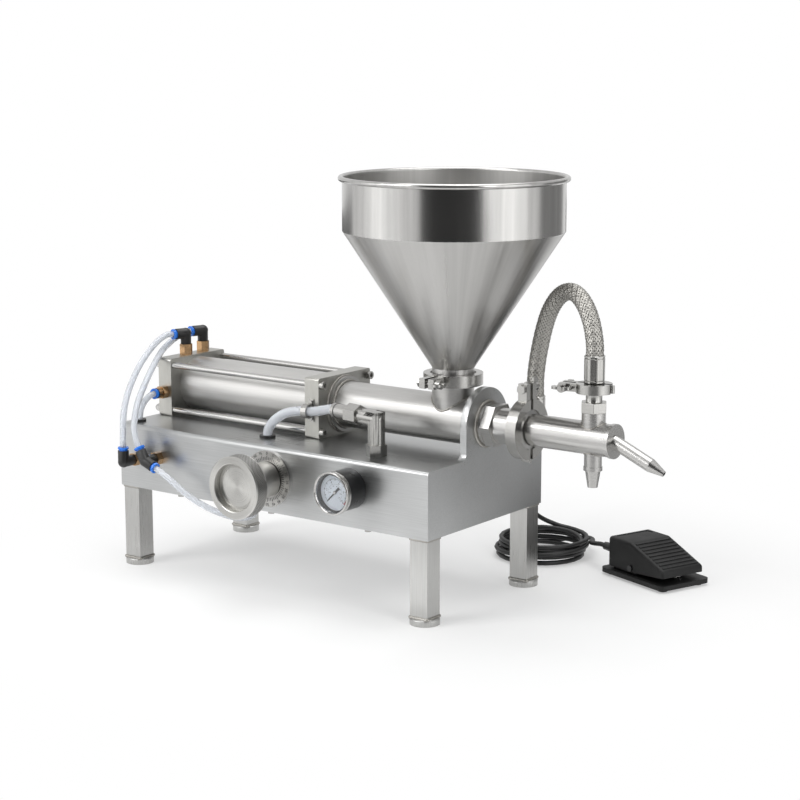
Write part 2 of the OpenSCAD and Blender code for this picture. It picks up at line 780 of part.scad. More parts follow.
module piston_rod() {
    back = air_piston_x + air_piston_t;
    color("whitesmoke") {
        to_x(back) cylinder(d = shaft_d, h = product_piston_x - back);
        to_x(air_piston_x + over) cylinder(d = shaft_end_d, h = product_piston_x - air_piston_x
            + product_piston_t - 2 * over);
    }
    color("gainsboro") {
        to_x(air_piston_x + nut_recess_h - piston_nut_t) hex_nut(piston_nut_af, shaft_end_d, piston_nut_t);
        to_x(product_piston_x + product_piston_t - nut_recess_h)
            hex_nut(piston_nut_af, shaft_end_d, piston_nut_t);
    }
}
module piston_seals() {
    color("dimgray") {
        for (t = [air_piston_t / 4, 3 * air_piston_t / 4])
            to_x(air_piston_x + t - seal_w / 2) ring(air_piston_d, air_piston_d - 2 * seal_h, seal_w);
        for (t = [product_piston_t / 4, 3 * product_piston_t / 4])
            to_x(product_piston_x + t - seal_w / 2)
                ring(product_piston_d, product_piston_d - 2 * seal_h, seal_w);
    }
}

// The product cylinder with its inlet stub, seat ring and guide bridge
module ferrule(d, tube_od) {
    cylinder(d = d, h = ferrule_t);
    translate([0, 0, ferrule_t]) cylinder(d1 = d - 2 * ferrule_cone, d2 = tube_od, h = ferrule_cone);
}
inlet_seat_z = inlet_face_z - ferrule_t - bridge_t;
inlet_bridge_z = inlet_seat_z - valve_disc_t - valve_lift - inlet_spring_h;
bridge_hub_d = 12;
bridge_w = 6;
module product_cylinder() {
    color("lightgray") {
        difference() {
            union() {
                to_x(flange_x) cylinder(d = product_d, h = outlet_x - flange_x);
                to_x(flange_x) cylinder(d = flange_d, h = flange_t);
                translate([inlet_x, 0, axis_z]) cylinder(d = stub_d, h = inlet_rise - ferrule_t);
                translate([inlet_x, 0, inlet_face_z]) rotate([180, 0, 0]) ferrule(ferrule_d, stub_d);
            }
            to_x(flange_x - over) cylinder(d = product_bore, h = outlet_x - flange_x + 2 * over);
            translate([inlet_x, 0, axis_z]) cylinder(d = stub_bore, h = inlet_rise - ferrule_t - bridge_t);
            translate([inlet_x, 0, axis_z]) cylinder(d = inlet_seat_d, h = inlet_rise + over);
        }
        difference() {
            intersection() {
                translate([inlet_x - bridge_w / 2, -stub_d / 2, inlet_bridge_z])
                    cube([bridge_w, stub_d, bridge_t]);
                translate([inlet_x, 0, axis_z]) cylinder(d = stub_bore + fit_gap, h = inlet_rise);
            }
            translate([inlet_x, 0, inlet_bridge_z - over])
                cylinder(d = valve_stem_d + 2 * run_gap, h = bridge_t + 2 * over);
        }
    }
}

// The hopper: a rolled rim, a polished band, a cone and a ferruled neck
module hopper() {
    rb = hopper_d / 2;
    rn = stub_d / 2;
    rf = ferrule_d / 2;
    w = hopper_wall;
    z1 = neck_h;
    z2 = neck_h + cone_h;
    z3 = neck_h + cone_h + band_h;
    color("lightgray") translate([inlet_x, 0, hopper_face_z]) rotate_extrude($fn = 128) {
        polygon([
            [stub_bore / 2, 0], [rf, 0], [rf, ferrule_t], [rf - ferrule_cone, ferrule_t],
            [rn, ferrule_t + ferrule_cone], [rn, z1],
            [rb, z2], [rb, z3], [rb - w, z3], [rb - w, z2 + w], [rn - w, z1 + w], [stub_bore / 2, z1],
        ]);
        translate([rb + bead_d / 2 - w, z3]) circle(d = bead_d, $fn = 24);
    }
}

// A clamp band in two halves round +Z, with ears towards +X and a bolt along Y
module clamp_half(d, rim_d, tube_od, w, side) {
    grip = ferrule_t + gasket_t / 2 + slide_gap;
    lip = tube_od / 2 + ferrule_cone + slide_gap;
    ease = 4 * slide_gap;
    difference() {
        union() {
            cylinder(d = d, h = w, center = true);
            translate([d / 2 - over * 3, side > 0 ? 0 : -ear_t - ear_gap / 2, -w / 2 + over])
                cube([ear_l + over * 3, ear_t + ear_gap / 2, w - 2 * over]);
        }
        cylinder(d = rim_d + 2 * slide_gap, h = 2 * grip, center = true);
        cylinder(r = lip, h = w + 2 * over, center = true);
        for (s = [0, 1]) mirror([0, 0, s]) translate([0, 0, grip - slide_gap])
            cylinder(d1 = rim_d - 2 * ferrule_cone + ease, d2 = tube_od + ease, h = ferrule_cone);
        translate([-d, side > 0 ? -d - ear_t : -ear_gap / 2, -w]) cube([3 * d, d + ear_t + ear_gap / 2, 2 * w]);
        rotate([90, 0, 0]) translate([d / 2 + clamp_bolt_x, 0, 0])
            cylinder(d = clamp_bolt_d + 2 * slide_gap, h = 4 * ear_t, center = true);
    }
}
clamp_bolt_x = 13;
bolt_head_d = 10;
bolt_head_h = 4;
bolt_tail = 12;
link_pin_d = 5;
module clamp_set(d, rim_d, tube_od, w) {
    color("gainsboro") {
        clamp_half(d, rim_d, tube_od, w, 1);
        clamp_half(d, rim_d, tube_od, w, -1);
        translate([-d / 2 - link_pin_d / 4, 0, 0]) cylinder(d = link_pin_d, h = w - 2 * over, center = true);
    }
    color("silver") translate([d / 2 + clamp_bolt_x, -ear_gap / 2 - ear_t - bolt_head_h, 0]) rotate([-90, 0, 0]) {
        hexagon(bolt_head_d, bolt_head_h);
        cylinder(d = clamp_bolt_d, h = bolt_head_h + 2 * ear_t + ear_gap + bolt_tail);
    }
}
wing_hub_d = 11;
wing_hub_h = 7;
wing_t = 3;
wing_gap = 0.2;
module wing_nut(d) {
    hub = clamp_bolt_d + 2 * run_gap;
    lobe = (wing_span - wing_hub_d) / 2;
    color("whitesmoke") translate([d / 2 + clamp_bolt_x, ear_gap / 2 + ear_t + wing_gap, 0]) rotate([-90, 0, 0])
        difference() {
            union() {
                cylinder(d = wing_hub_d, h = wing_hub_h);
                for (s = [-1, 1]) translate([s * (wing_span / 2 - lobe), 0, wing_hub_h / 2 + over]) rotate([90, 0, 0])
                    intersection() {
                        cylinder(r = lobe, h = wing_t, center = true);
                        translate([-lobe, -wing_hub_h / 2, -wing_t]) cube([2 * lobe, lobe * 2, 2 * wing_t]);
                    }
            }
            translate([0, 0, -over]) cylinder(d = hub, h = 3 * wing_hub_h);
        }
}
module at_hopper_joint() { translate([inlet_x, 0, inlet_face_z + gasket_t / 2]) rotate(-90) children(); }
module at_outlet_joint() {
    translate([ferrule_x + gasket_t / 2, 0, axis_z]) rotate([0, -90, 0]) children();
}
module at_hose_joint() { translate([port_x, 0, port_face_z + gasket_t / 2]) rotate(hose_ear_turn) children(); }
hose_ear_turn = 190;
small_clamp_w = 11;
small_tube_d = port_neck_d;
module hopper_clamp() { at_hopper_joint() clamp_set(clamp_d, ferrule_d, stub_d, clamp_w); }
module outlet_clamp() { at_outlet_joint() clamp_set(clamp_d, ferrule_d, outlet_d, clamp_w); }
module hose_clamp() { at_hose_joint() clamp_set(small_clamp_d, small_ferrule_d, small_tube_d, small_clamp_w); }
module wing_nut_hopper() { at_hopper_joint() wing_nut(clamp_d); }
module wing_nut_outlet() { at_outlet_joint() wing_nut(clamp_d); }
module wing_nut_hose() { at_hose_joint() wing_nut(small_clamp_d); }

// The outlet: seat boss, tube, side elbow for the hose, and the big nut
outlet_boss_d = 52;
module outlet_tube() {
    rise = hose_elbow_rise;
    color("lightgray") {
        difference() {
            union() {
                to_x(outlet_x) cylinder(d = outlet_boss_d, h = outlet_nut_gap);
                to_x(outlet_x) cylinder(d = outlet_d, h = outlet_l);
                translate([ferrule_x, 0, axis_z]) rotate([0, -90, 0]) ferrule(ferrule_d, outlet_d);
                translate([hose_x, 0, axis_z]) rotate([-90, 0, 0]) cylinder(d = hose_elbow_d, h = hose_back);
                translate([hose_x, hose_back, axis_z]) sphere(d = hose_elbow_d);
                translate([hose_x, hose_back, axis_z]) cylinder(d = hose_elbow_d, h = rise);
            }
            to_x(outlet_x + bridge_t) cylinder(d = outlet_bore, h = outlet_l);
            to_x(outlet_x - over) cylinder(d = outlet_seat_d, h = outlet_l);
            translate([hose_x, 0, axis_z]) rotate([-90, 0, 0]) cylinder(d = hose_bore, h = hose_back);
            translate([hose_x, hose_back, axis_z]) sphere(d = hose_bore);
            translate([hose_x, hose_back, axis_z]) cylinder(d = hose_bore, h = rise + over);
        }
        difference() {
            intersection() {
                translate([outlet_bridge_x, -bridge_w / 2, axis_z - outlet_d / 2])
                    cube([bridge_t, bridge_w, outlet_d]);
                to_x(outlet_x) cylinder(d = outlet_bore + fit_gap, h = outlet_l);
            }
            to_x(outlet_x) cylinder(d = valve_stem_d + 2 * run_gap, h = outlet_l);
        }
    }
}
outlet_bridge_x = ferrule_x - 12;
module outlet_nut() {
    color("gainsboro") to_x(outlet_x + outlet_nut_gap) rotate(30)
        hex_nut(outlet_nut_af, outlet_d, outlet_nut_t);
}

// The nozzle: a tube with an upper and a lower port, a spout and a drip tip
module nozzle_body() {
    color("lightgray") difference() {
        union() {
            to_x(nozzle_x) cylinder(d = nozzle_d, h = nozzle_l);
            to_x(nozzle_x) ferrule(ferrule_d, nozzle_d);
            translate([port_x, 0, axis_z]) cylinder(d = upper_port_d, h = upper_port_rise);
            translate([port_x, 0, axis_z - lower_port_drop]) cylinder(d = lower_port_d, h = lower_port_drop);
        }
        to_x(nozzle_x - over) cylinder(d = nozzle_bore, h = nozzle_l + 2 * over);
        translate([port_x, 0, axis_z]) cylinder(d = hose_bore, h = upper_port_rise + over);
        translate([port_x, 0, axis_z - lower_port_drop - over]) cylinder(d = hose_bore, h = lower_port_drop);
    }
}
module angled_spout() {
    straight = spout_l - spout_taper;
    color("lightgray") difference() {
        union() {
            to_x(disc_x) cylinder(d = end_disc_d, h = end_disc_t);
            translate([disc_x + end_disc_t / 2, 0, axis_z]) rotate([0, 90 + spout_slope, 0]) {
                cylinder(d = spout_d, h = straight);
                translate([0, 0, straight]) cylinder(d1 = spout_d, d2 = spout_tip_d, h = spout_taper);
            }
        }
        translate([disc_x + end_disc_t / 2, 0, axis_z]) rotate([0, 90 + spout_slope, 0]) {
            translate([0, 0, -spout_d / 2]) cylinder(d = spout_bore, h = straight + spout_d / 2);
            translate([0, 0, straight - over])
                cylinder(d1 = spout_bore, d2 = spout_tip_bore, h = spout_taper + 2 * over);
        }
        to_x(disc_x - spout_d) cylinder(d = nozzle_d + 2 * over, h = spout_d);
    }
}
tip_thread_l = 6;
module drip_tip() {
    top = axis_z - lower_port_drop;
    color("gainsboro") translate([port_x, 0, top]) rotate([180, 0, 0]) difference() {
        union() {
            translate([0, 0, -tip_thread_l]) cylinder(d = hose_bore, h = tip_thread_l + over);
            cylinder(d = tip_collar_d, h = tip_collar_h);
            translate([0, 0, tip_collar_h]) cylinder(d1 = tip_top_d, d2 = tip_end_d, h = tip_l);
        }
        translate([0, 0, -tip_thread_l - over]) cylinder(d = tip_bore, h = tip_l + tip_collar_h + tip_thread_l + 2 * over);
    }
}
module hose_port() {
    color("gainsboro") translate([port_x, 0, port_nut_z]) difference() {
        union() {
            hexagon(port_nut_af, port_nut_t);
            cylinder(d = port_neck_d, h = port_nut_t + port_neck_l + over / 2);
            translate([0, 0, port_face_z - port_nut_z]) rotate([180, 0, 0])
                ferrule(small_ferrule_d, port_neck_d);
        }
        translate([0, 0, -over]) cylinder(d = hose_bore, h = port_face_z);
    }
}
module hose_sleeves() {
    color("gainsboro") {
        difference() {
            union() {
                translate([port_x, 0, hose_face_z]) ferrule(small_ferrule_d, port_neck_d);
                translate([port_x, 0, sleeve_z]) cylinder(d = sleeve_d, h = sleeve_l);
            }
            translate([port_x, 0, hose_face_z - over]) cylinder(d = hose_bore, h = sleeve_l + over);
            translate([port_x, 0, hose_top_z - sleeve_bite]) cylinder(d = hose_d, h = sleeve_bite + over);
        }
        translate([hose_x, hose_back, axis_z + hose_elbow_rise]) difference() {
            cylinder(d = sleeve_d, h = lower_sleeve_l);
            translate([0, 0, -over]) cylinder(d = hose_bore, h = lower_sleeve_l);
            translate([0, 0, lower_sleeve_l - sleeve_bite]) cylinder(d = hose_d, h = sleeve_bite + over);
        }
    }
}
sleeve_bite = 8;
// Places of the hose's bend, as shares of its span and of its rise
hose_shares = [
    [0, 0.16], [0.004, 0.31], [0.03, 0.45], [0.085, 0.62], [0.165, 0.775],
    [0.29, 0.905], [0.435, 0.98], [0.59, 1], [0.73, 0.96], [0.85, 0.875],
    [0.935, 0.765], [0.985, 0.64],
];
hose_rise = 131;
hose_bow = 12;
hose_route = smooth(concat(
    [[hose_x, hose_back, hose_end_z - sleeve_bite], [hose_x, hose_back, hose_end_z + over]],
    [for (s = hose_shares) [
        hose_x + s[0] * (port_x - hose_x),
        (hose_back + hose_bow * s[1] * min(1, s[0] * 200)) * (1 - s[0]),
        hose_end_z + s[1] * hose_rise
    ]],
    [for (s = [8, 1, -sleeve_bite]) [port_x, 0, hose_top_z + s]]
), 2);
module braided_hose() { color("darkgray") swept(hose_route, hose_d - 2 * fit_gap, 12); }

// Sprung check valves: the inlet opens down, the outlet opens to the right
inlet_stem_l = inlet_seat_z - inlet_bridge_z + bridge_t;
module inlet_valve() {
    color("white") translate([inlet_x, 0, inlet_seat_z - run_gap]) rotate([180, 0, 0]) {
        cylinder(d = inlet_disc_d, h = valve_disc_t);
        cylinder(d = valve_stem_d, h = inlet_stem_l);
    }
}
outlet_seat_x = outlet_x + bridge_t;
outlet_stem_l = outlet_bridge_x - outlet_seat_x + bridge_t + over;
module outlet_valve() {
    color("white") to_x(outlet_seat_x + run_gap) {
        cylinder(d = outlet_disc_d, h = valve_disc_t);
        cylinder(d = valve_stem_d, h = outlet_stem_l);
    }
}
// A helical spring standing on +Z, its two ends let into the height
function helix(d, h, wire, curls) = [
    for (i = [0:8 * curls])
        [d / 2 * cos(45 * i), d / 2 * sin(45 * i), wire / 2 + (h - wire) * i / (8 * curls)]
];
module spring(d, h, wire, curls) {
    echo(spring_gap = least_gap(helix(d, h, wire, curls), wire, 6));
    swept(helix(d, h, wire, curls), wire, 6);
}
valve_curls = 5;
module inlet_spring() {
    h = inlet_seat_z - valve_disc_t - inlet_bridge_z - bridge_t;
    color("gray") translate([inlet_x, 0, inlet_bridge_z + bridge_t])
        spring(valve_spring_d, h - 2 * run_gap, valve_wire_d, valve_curls - 2);
}
module outlet_spring() {
    x = outlet_seat_x + valve_disc_t + 2 * run_gap;
    color("gray") to_x(x) spring(valve_spring_d, outlet_bridge_x - x, valve_wire_d, valve_curls);
}

// The handwheel, its dial plate, and the regulator that it turns inside the box
hub_y = front_y - dial_t - hub_gap;
wheel_shaft_l = hub_l + dial_t + sheet_t + 22;
module handwheel() {
    rim_z = hub_l + wheel_rim_t;
    color("silver") to_front(wheel_x, hub_y, wheel_z) {
        cylinder(d = hub_d, h = hub_l + over);
        translate([0, 0, hub_l]) difference() {
            cylinder(d = wheel_d, h = wheel_rim_t);
            translate([0, 0, wheel_rim_t - wheel_recess_h]) cylinder(d = wheel_recess_d, h = wheel_recess_h + over);
            for (i = [0:flute_n - 1]) rotate(360 * i / flute_n) translate([wheel_d / 2 + flute_h, 0, -over])
                cylinder(r = 2 * flute_h, h = wheel_rim_t + 2 * over, $fn = 16);
        }
        translate([0, 0, -hub_gap - dial_t - sheet_t - shaft_tail]) cylinder(d = wheel_shaft_d, h = hub_l);
    }
}
shaft_tail = 20;
regulator_w = 40;
regulator_h = 38;
regulator_l = 44;
needle_d = 6;
needle_travel = 1.25;
module dial_plate() {
    color("gainsboro") to_front(wheel_x, front_y, wheel_z)
        ring(dial_d, wheel_shaft_d + 2 * slide_gap, dial_t);
}
regulator_y = front_y + sheet_t;
module regulator_body() {
    color("gray") difference() {
        union() {
            translate([wheel_x - regulator_w / 2, regulator_y, wheel_z - regulator_h / 2])
                cube([regulator_w, regulator_l, regulator_h]);
            translate([wheel_x, regulator_y + regulator_l, wheel_z]) rotate([-90, 0, 0])
                cylinder(d = regulator_h - 2 * sheet_t, h = regulator_l / 4);
        }
        to_front(wheel_x, regulator_y + shaft_tail + over, wheel_z)
            cylinder(d = wheel_shaft_d + 2 * run_gap, h = shaft_tail + 2 * over);
        to_front(wheel_x, regulator_y + regulator_l, wheel_z)
            cylinder(d = needle_d + 2 * run_gap, h = regulator_l);
    }
}
module regulator_needle() {
    l = regulator_l - shaft_tail - 2 * over - 2 * needle_travel;
    color("tan") translate([wheel_x, regulator_y + shaft_tail + over, wheel_z]) rotate([-90, 0, 0]) {
        cylinder(d = needle_d, h = l - needle_d);
        translate([0, 0, l - needle_d]) cylinder(d1 = needle_d, d2 = needle_d / 4, h = needle_d);
    }
}

// The pressure gauge, from the panel outwards
bezel_wall = 2;
dial_disc_t = 1;
dial_depth = 7;
needle_t = 0.6;
module gauge_case() {
    color("black") to_front(gauge_x, front_y, gauge_z) {
        difference() {
            cylinder(d = gauge_case_d, h = gauge_case_h);
            translate([0, 0, gauge_case_h - dial_depth])
                cylinder(d = gauge_case_d - 2 * bezel_wall, h = dial_depth + over);
        }
        translate([0, 0, -gauge_stem_l]) cylinder(d = gauge_stem_d, h = gauge_stem_l + over);
        translate([0, 0, -sheet_t - gauge_stem_l / 3]) hexagon(gauge_nut_af, gauge_stem_l / 3);
    }
    color("white") to_front(gauge_x, front_y - gauge_case_h + dial_depth, gauge_z)
        cylinder(d = gauge_case_d - 2 * bezel_wall, h = dial_disc_t);
}
module gauge_bezel() {
    color("gainsboro") to_front(gauge_x, front_y - gauge_case_h - over / 2, gauge_z) difference() {
        translate([0, 0, -bezel_h / 2]) cylinder(d = gauge_d, h = bezel_h);
        translate([0, 0, -bezel_h]) cylinder(d = gauge_case_d + 2 * fit_gap, h = bezel_h + over / 2);
        translate([0, 0, -over]) cylinder(d = gauge_case_d - 2 * bezel_wall, h = bezel_h);
    }
}
module gauge_lens() {
    color("azure", 0.3) to_front(gauge_x, front_y - gauge_case_h - over, gauge_z)
        cylinder(d = gauge_case_d - 2 * bezel_wall - 2 * fit_gap, h = lens_t);
}
gauge_zero = 225;
needle_hub_d = 4;
needle_w = 1.6;
module gauge_needle() {
    y = front_y - gauge_case_h + dial_depth - dial_disc_t - slide_gap;
    color("black") to_front(gauge_x, y, gauge_z) rotate(gauge_zero) {
        cylinder(d = needle_hub_d, h = 2 * needle_t);
        linear_extrude(needle_t)
            polygon([[-needle_l / 2, -needle_w], [needle_l, -needle_w / 5], [needle_l, needle_w / 5],
                [-needle_l / 2, needle_w]]);
    }
}

// Push-in fittings: each port has a corner, a direction and a blue collar
top_dir = [cos(251.5), sin(251.5), 0];
c_dir = [0, -1, 0];
d_dir = [0, 0, 1];
e_dir = [cos(121), 0, sin(121)];
f_dir = [cos(-21.5), 0, sin(-21.5)];
c_reach = fitting_reach + 2;
collar_gap = collar_travel + 0.5;
sleeve_depth = 7;
collar_sleeve_d = 11;
grip_depth = 12;
module port_bore(p, d, reach) {
    aim(p + d * (reach - grip_depth - over), d) cylinder(d = tube_d + 2 * fit_gap, h = grip_depth + 2 * over);
    aim(p + d * (reach - sleeve_depth), d) cylinder(d = collar_sleeve_d + 2 * slide_gap, h = sleeve_depth + over);
}
module collar(p, d, reach) {
    color("dodgerblue") aim(p + d * reach, d) difference() {
        union() {
            translate([0, 0, collar_gap]) cylinder(d = fitting_d - fit_gap, h = collar_t);
            translate([0, 0, collar_gap + collar_travel - sleeve_depth + fit_gap])
                cylinder(d = collar_sleeve_d, h = sleeve_depth - collar_travel);
        }
        translate([0, 0, -grip_depth]) cylinder(d = tube_d + 2 * slide_gap, h = 2 * grip_depth);
    }
}
module elbow(p, d, reach, from) {
    color([0.12, 0.12, 0.13]) difference() {
        union() {
            aim(from, p - from) cylinder(d = fitting_d - 2 * fit_gap, h = norm(p - from));
            translate(p) sphere(d = fitting_d + 4 * fit_gap);
            for (k = [0:len(d) - 1]) aim(p, d[k]) cylinder(d = fitting_d, h = reach);
        }
        for (k = [0:len(d) - 1]) port_bore(p, d[k], reach);
    }
}
module fitting_bodies() {
    for (p = [port_a, port_b])
        elbow(p, [top_dir], fitting_reach, [p[0], p[1], cap_top_z + brass_h]);
    elbow(port_d, [d_dir], fitting_reach, [port_d[0], front_y - panel_brass_h, port_d[2]]);
    elbow(port_ef, [e_dir, f_dir], fitting_reach, [port_ef[0], front_y - panel_brass_h, port_ef[2]]);
}
module brass_fittings() {
    color("peru") {
        for (p = [port_a, port_b]) translate([p[0], p[1], cap_top_z]) {
            hexagon(brass_af, brass_h);
            translate([0, 0, -cap_port_h + fit_gap]) cylinder(d = brass_thread_d - fit_gap, h = cap_port_h);
        }
        for (p = [port_d, port_ef]) to_front(p[0], front_y, p[2]) {
            hexagon(brass_af, panel_brass_h);
            translate([0, 0, -cap_port_h]) cylinder(d = brass_thread_d, h = cap_port_h);
        }
        difference() {
            to_front(port_c[0], cap_front_y, port_c[2]) {
                hexagon(brass_af, c_reach - sleeve_depth);
                cylinder(d = fitting_d, h = c_reach);
                translate([0, 0, -cap_port_h + fit_gap]) cylinder(d = brass_thread_d - fit_gap, h = cap_port_h);
            }
            port_bore(port_c, c_dir, c_reach);
        }
    }
}
module collar_a() { collar(port_a, top_dir, fitting_reach); }
module collar_b() { collar(port_b, top_dir, fitting_reach); }
module collar_c() { collar(port_c, c_dir, c_reach); }
module collar_d() { collar(port_d, d_dir, fitting_reach); }
module collar_e() { collar(port_ef, e_dir, fitting_reach); }
module collar_f() { collar(port_ef, f_dir, fitting_reach); }

// The clear tubes, each from one fitting to the next
function run_out(p, d, reach) = [for (s = [-grip_depth, 0, 6, 14]) p + d * (reach + s)];
function run_near(p, d, reach) = [for (s = [-grip_depth, 0, 5, 10]) p + d * (reach + s)];
function run_in(p, d, reach) = [for (s = [14, 6, 0, -grip_depth]) p + d * (reach + s)];
route_a = concat(
    run_out(port_a, top_dir, fitting_reach),
    [[-242, -56, 280], [-241, -85, 257], [-235, -112, 230], [-224, -134, 204]],
    run_in(port_d, d_dir, fitting_reach)
);
route_b = concat(
    run_near(port_b, top_dir, fitting_reach),
    [[-242.5, -13, 284], [-243.5, -28, 277], [-240, -45, 269.5], [-233, -65, 258.5], [-224, -91, 240],
        [-212, -121, 215], [-200, -141, 190]],
    run_in(port_ef, e_dir, fitting_reach)
);
route_c = concat(
    [for (s = [-grip_depth, 0]) port_c + c_dir * (c_reach + s)],
    [[-229, -77.5, 217.3], [-229.2, -85, 214.5], [-229.5, -92, 208.8], [-229.8, -97, 201], [-230, -99, 191]],
    [[small_grommet_x, small_grommet_y, box_top - sheet_t], [small_grommet_x, small_grommet_y, box_top - 20]]
);
route_f = concat(
    run_out(port_ef, f_dir, fitting_reach),
    [[-137, -145, 130.5], [-121.5, -143.5, 120.5], [-105, -140, 110], [-88.5, -134.5, 101],
        [-72, -127, 93.5], [-58, -118, 88.5], [-46.5, -108, 86.5], [-38.5, -100.5, 90]],
    [[floor_grommet_x, floor_grommet_y, box_lift - cover_t - over * 3], [floor_grommet_x, floor_grommet_y, box_lift + 14]]
);
arm_turn = 169.7;
arm_dir = [cos(arm_turn), sin(arm_turn), 0];
supply_corner = [supply_x, -supply_y, box_top + supply_rise];
arm_start = 28;
arm_nut_t = 20;
arm_body_t = 26;
supply_bite = 14;
supply_end = arm_start + arm_nut_t + arm_body_t;
route_s = concat(
    [[grommet_x, grommet_y, box_top - 12], [grommet_x, grommet_y, box_top + 3]],
    [[-29.5, -77, 199], [-22, -73, 209.5], [-10, -66.5, 217.5]],
    [for (t = [-1, 0, 1]) [clip_x + 9 * t, clip_y, clip_z + t / 2]],
    [[44, -64, 226.5]],
    [for (s = [8, 0, -supply_bite]) supply_corner + arm_dir * (supply_end + s)]
);
module air_tubes() {
    color("aliceblue", 0.5) {
        for (r = [route_a, route_b, route_c, route_f]) swept(smooth(r, 2), tube_d, 10);
        swept(smooth(route_s, 2), supply_d, 12);
    }
}

// The stainless elbow on the box top and the clip that holds the supply tube
base_nut_t = 14;
clip_w = 8;
clip_wall = 2;
clip_plate_t = 1.5;
module supply_fittings() {
    color("lightgray") {
        difference() {
            union() {
                translate([supply_x, -supply_y, box_top]) rotate(30) hexagon(supply_nut_af, base_nut_t);
                translate([supply_x, -supply_y, box_top - supply_stud_d])
                    cylinder(d = supply_stud_d, h = supply_stud_d + over);
                translate([supply_x, -supply_y, box_top]) cylinder(d = supply_elbow_d, h = supply_rise);
                translate(supply_corner) sphere(d = supply_elbow_d);
                aim(supply_corner, arm_dir) {
                    cylinder(d = supply_elbow_d, h = supply_end - over * 6);
                    translate([0, 0, arm_start]) hexagon(supply_nut_af, arm_nut_t);
                    translate([0, 0, supply_end - over * 5]) cylinder(d = supply_elbow_d + over, h = over * 5);
                }
            }
            aim(supply_corner + arm_dir * (supply_end - supply_bite - over), arm_dir)
                cylinder(d = supply_d + 2 * fit_gap, h = supply_bite + 2 * over);
        }
        translate([clip_x - clip_w / 2, cap_front_y, clip_z]) rotate([90, 0, 90]) difference() {
            union() {
                translate([-supply_d / 2 - 3, 0, 0]) cylinder(d = supply_d + 3 * clip_wall, h = clip_w);
                translate([-clip_plate_t, -clip_screw_gap - clip_w / 2, 0])
                    cube([clip_plate_t, 2 * clip_screw_gap + clip_w, clip_w]);
            }
            translate([-supply_d / 2 - 3, 0, -over]) cylinder(d = supply_d + 4 * slide_gap, h = clip_w + 2 * over);
        }
    }
    color("gainsboro") for (s = [-1, 1])
        to_front(clip_x, cap_front_y - clip_plate_t, clip_z + s * clip_screw_gap) {
            cylinder(d = 2 * clip_screw_d, h = clip_wall);
        }
}

// Inside the box: the solenoid valve that the foot switch works
valve_l = 96;
valve_w = 34;
valve_h = 36;
coil_l = 32;
valve_x = -150;
valve_stub_d = 10;
valve_stub_h = 12;
module solenoid_valve() {
    z = box_top - sheet_t - valve_h;
    color("slategray") translate([valve_x, 0, z]) {
        cube([valve_l, valve_w, valve_h]);
        translate([-coil_l, valve_wall, valve_wall]) cube([coil_l + over, valve_w - 2 * valve_wall, valve_h - 2 * valve_wall]);
        for (k = [1, 2, 3]) translate([valve_l * k / 4, valve_w / 2, -valve_stub_h])
            cylinder(d = valve_stub_d, h = valve_stub_h + over);
    }
}
valve_wall = 3;

// Black rubber and nylon: the cord glands and the tube grommets
pedal_gland_l = 25.5;
pedal_gland_d = 12;
grommet_lip = 2;
grommet_h = 3;
module cord_glands() {
    color([0.1, 0.1, 0.1]) {
        translate([gland_x, box_w / 2, gland_z]) rotate([-90, 0, 0]) difference() {
            union() {
                hexagon(gland_hex_af, gland_hex_t);
                translate([0, 0, gland_hex_t]) cylinder(d1 = gland_hex_af - 2, d2 = cord_d + 2 * grommet_lip, h = gland_nose_l);
                translate([0, 0, -gland_nose_l]) cylinder(d = supply_stud_d, h = gland_nose_l + over);
            }
            translate([0, 0, gland_hex_t + gland_nose_l - cord_bite]) cylinder(d = cord_d + 2 * fit_gap, h = cord_bite + over);
        }
        at_pedal() translate([pedestal_x, pedal_gland_y, pedal_gland_z]) rotate([0, -90, 0]) difference() {
            cylinder(d1 = pedal_gland_d, d2 = cord_d + 2 * grommet_lip, h = pedal_gland_l);
            translate([0, 0, pedal_gland_l - cord_bite]) cylinder(d = cord_d + 2 * fit_gap, h = cord_bite + over);
        }
        for (g = [[grommet_x, grommet_y, grommet_d, supply_d], [small_grommet_x, small_grommet_y, small_grommet_d, tube_d]])
            translate([g[0], g[1], box_top]) difference() {
                union() {
                    cylinder(d = g[2] + 2 * grommet_lip, h = grommet_h);
                    translate([0, 0, -sheet_t]) cylinder(d = g[2], h = sheet_t + over);
                }
                translate([0, 0, -2 * sheet_t]) cylinder(d = g[3] + 4 * fit_gap, h = 2 * sheet_t + 2 * grommet_h);
            }
        translate([floor_grommet_x, floor_grommet_y, box_lift - cover_t - grommet_h]) difference() {
            union() {
                cylinder(d = small_grommet_d + 2 * grommet_lip, h = grommet_h);
                cylinder(d = small_grommet_d, h = grommet_h + cover_t);
            }
            translate([0, 0, -over]) cylinder(d = tube_d + 4 * fit_gap, h = grommet_h + cover_t + 2 * over);
        }
    }
}
cord_bite = 6;

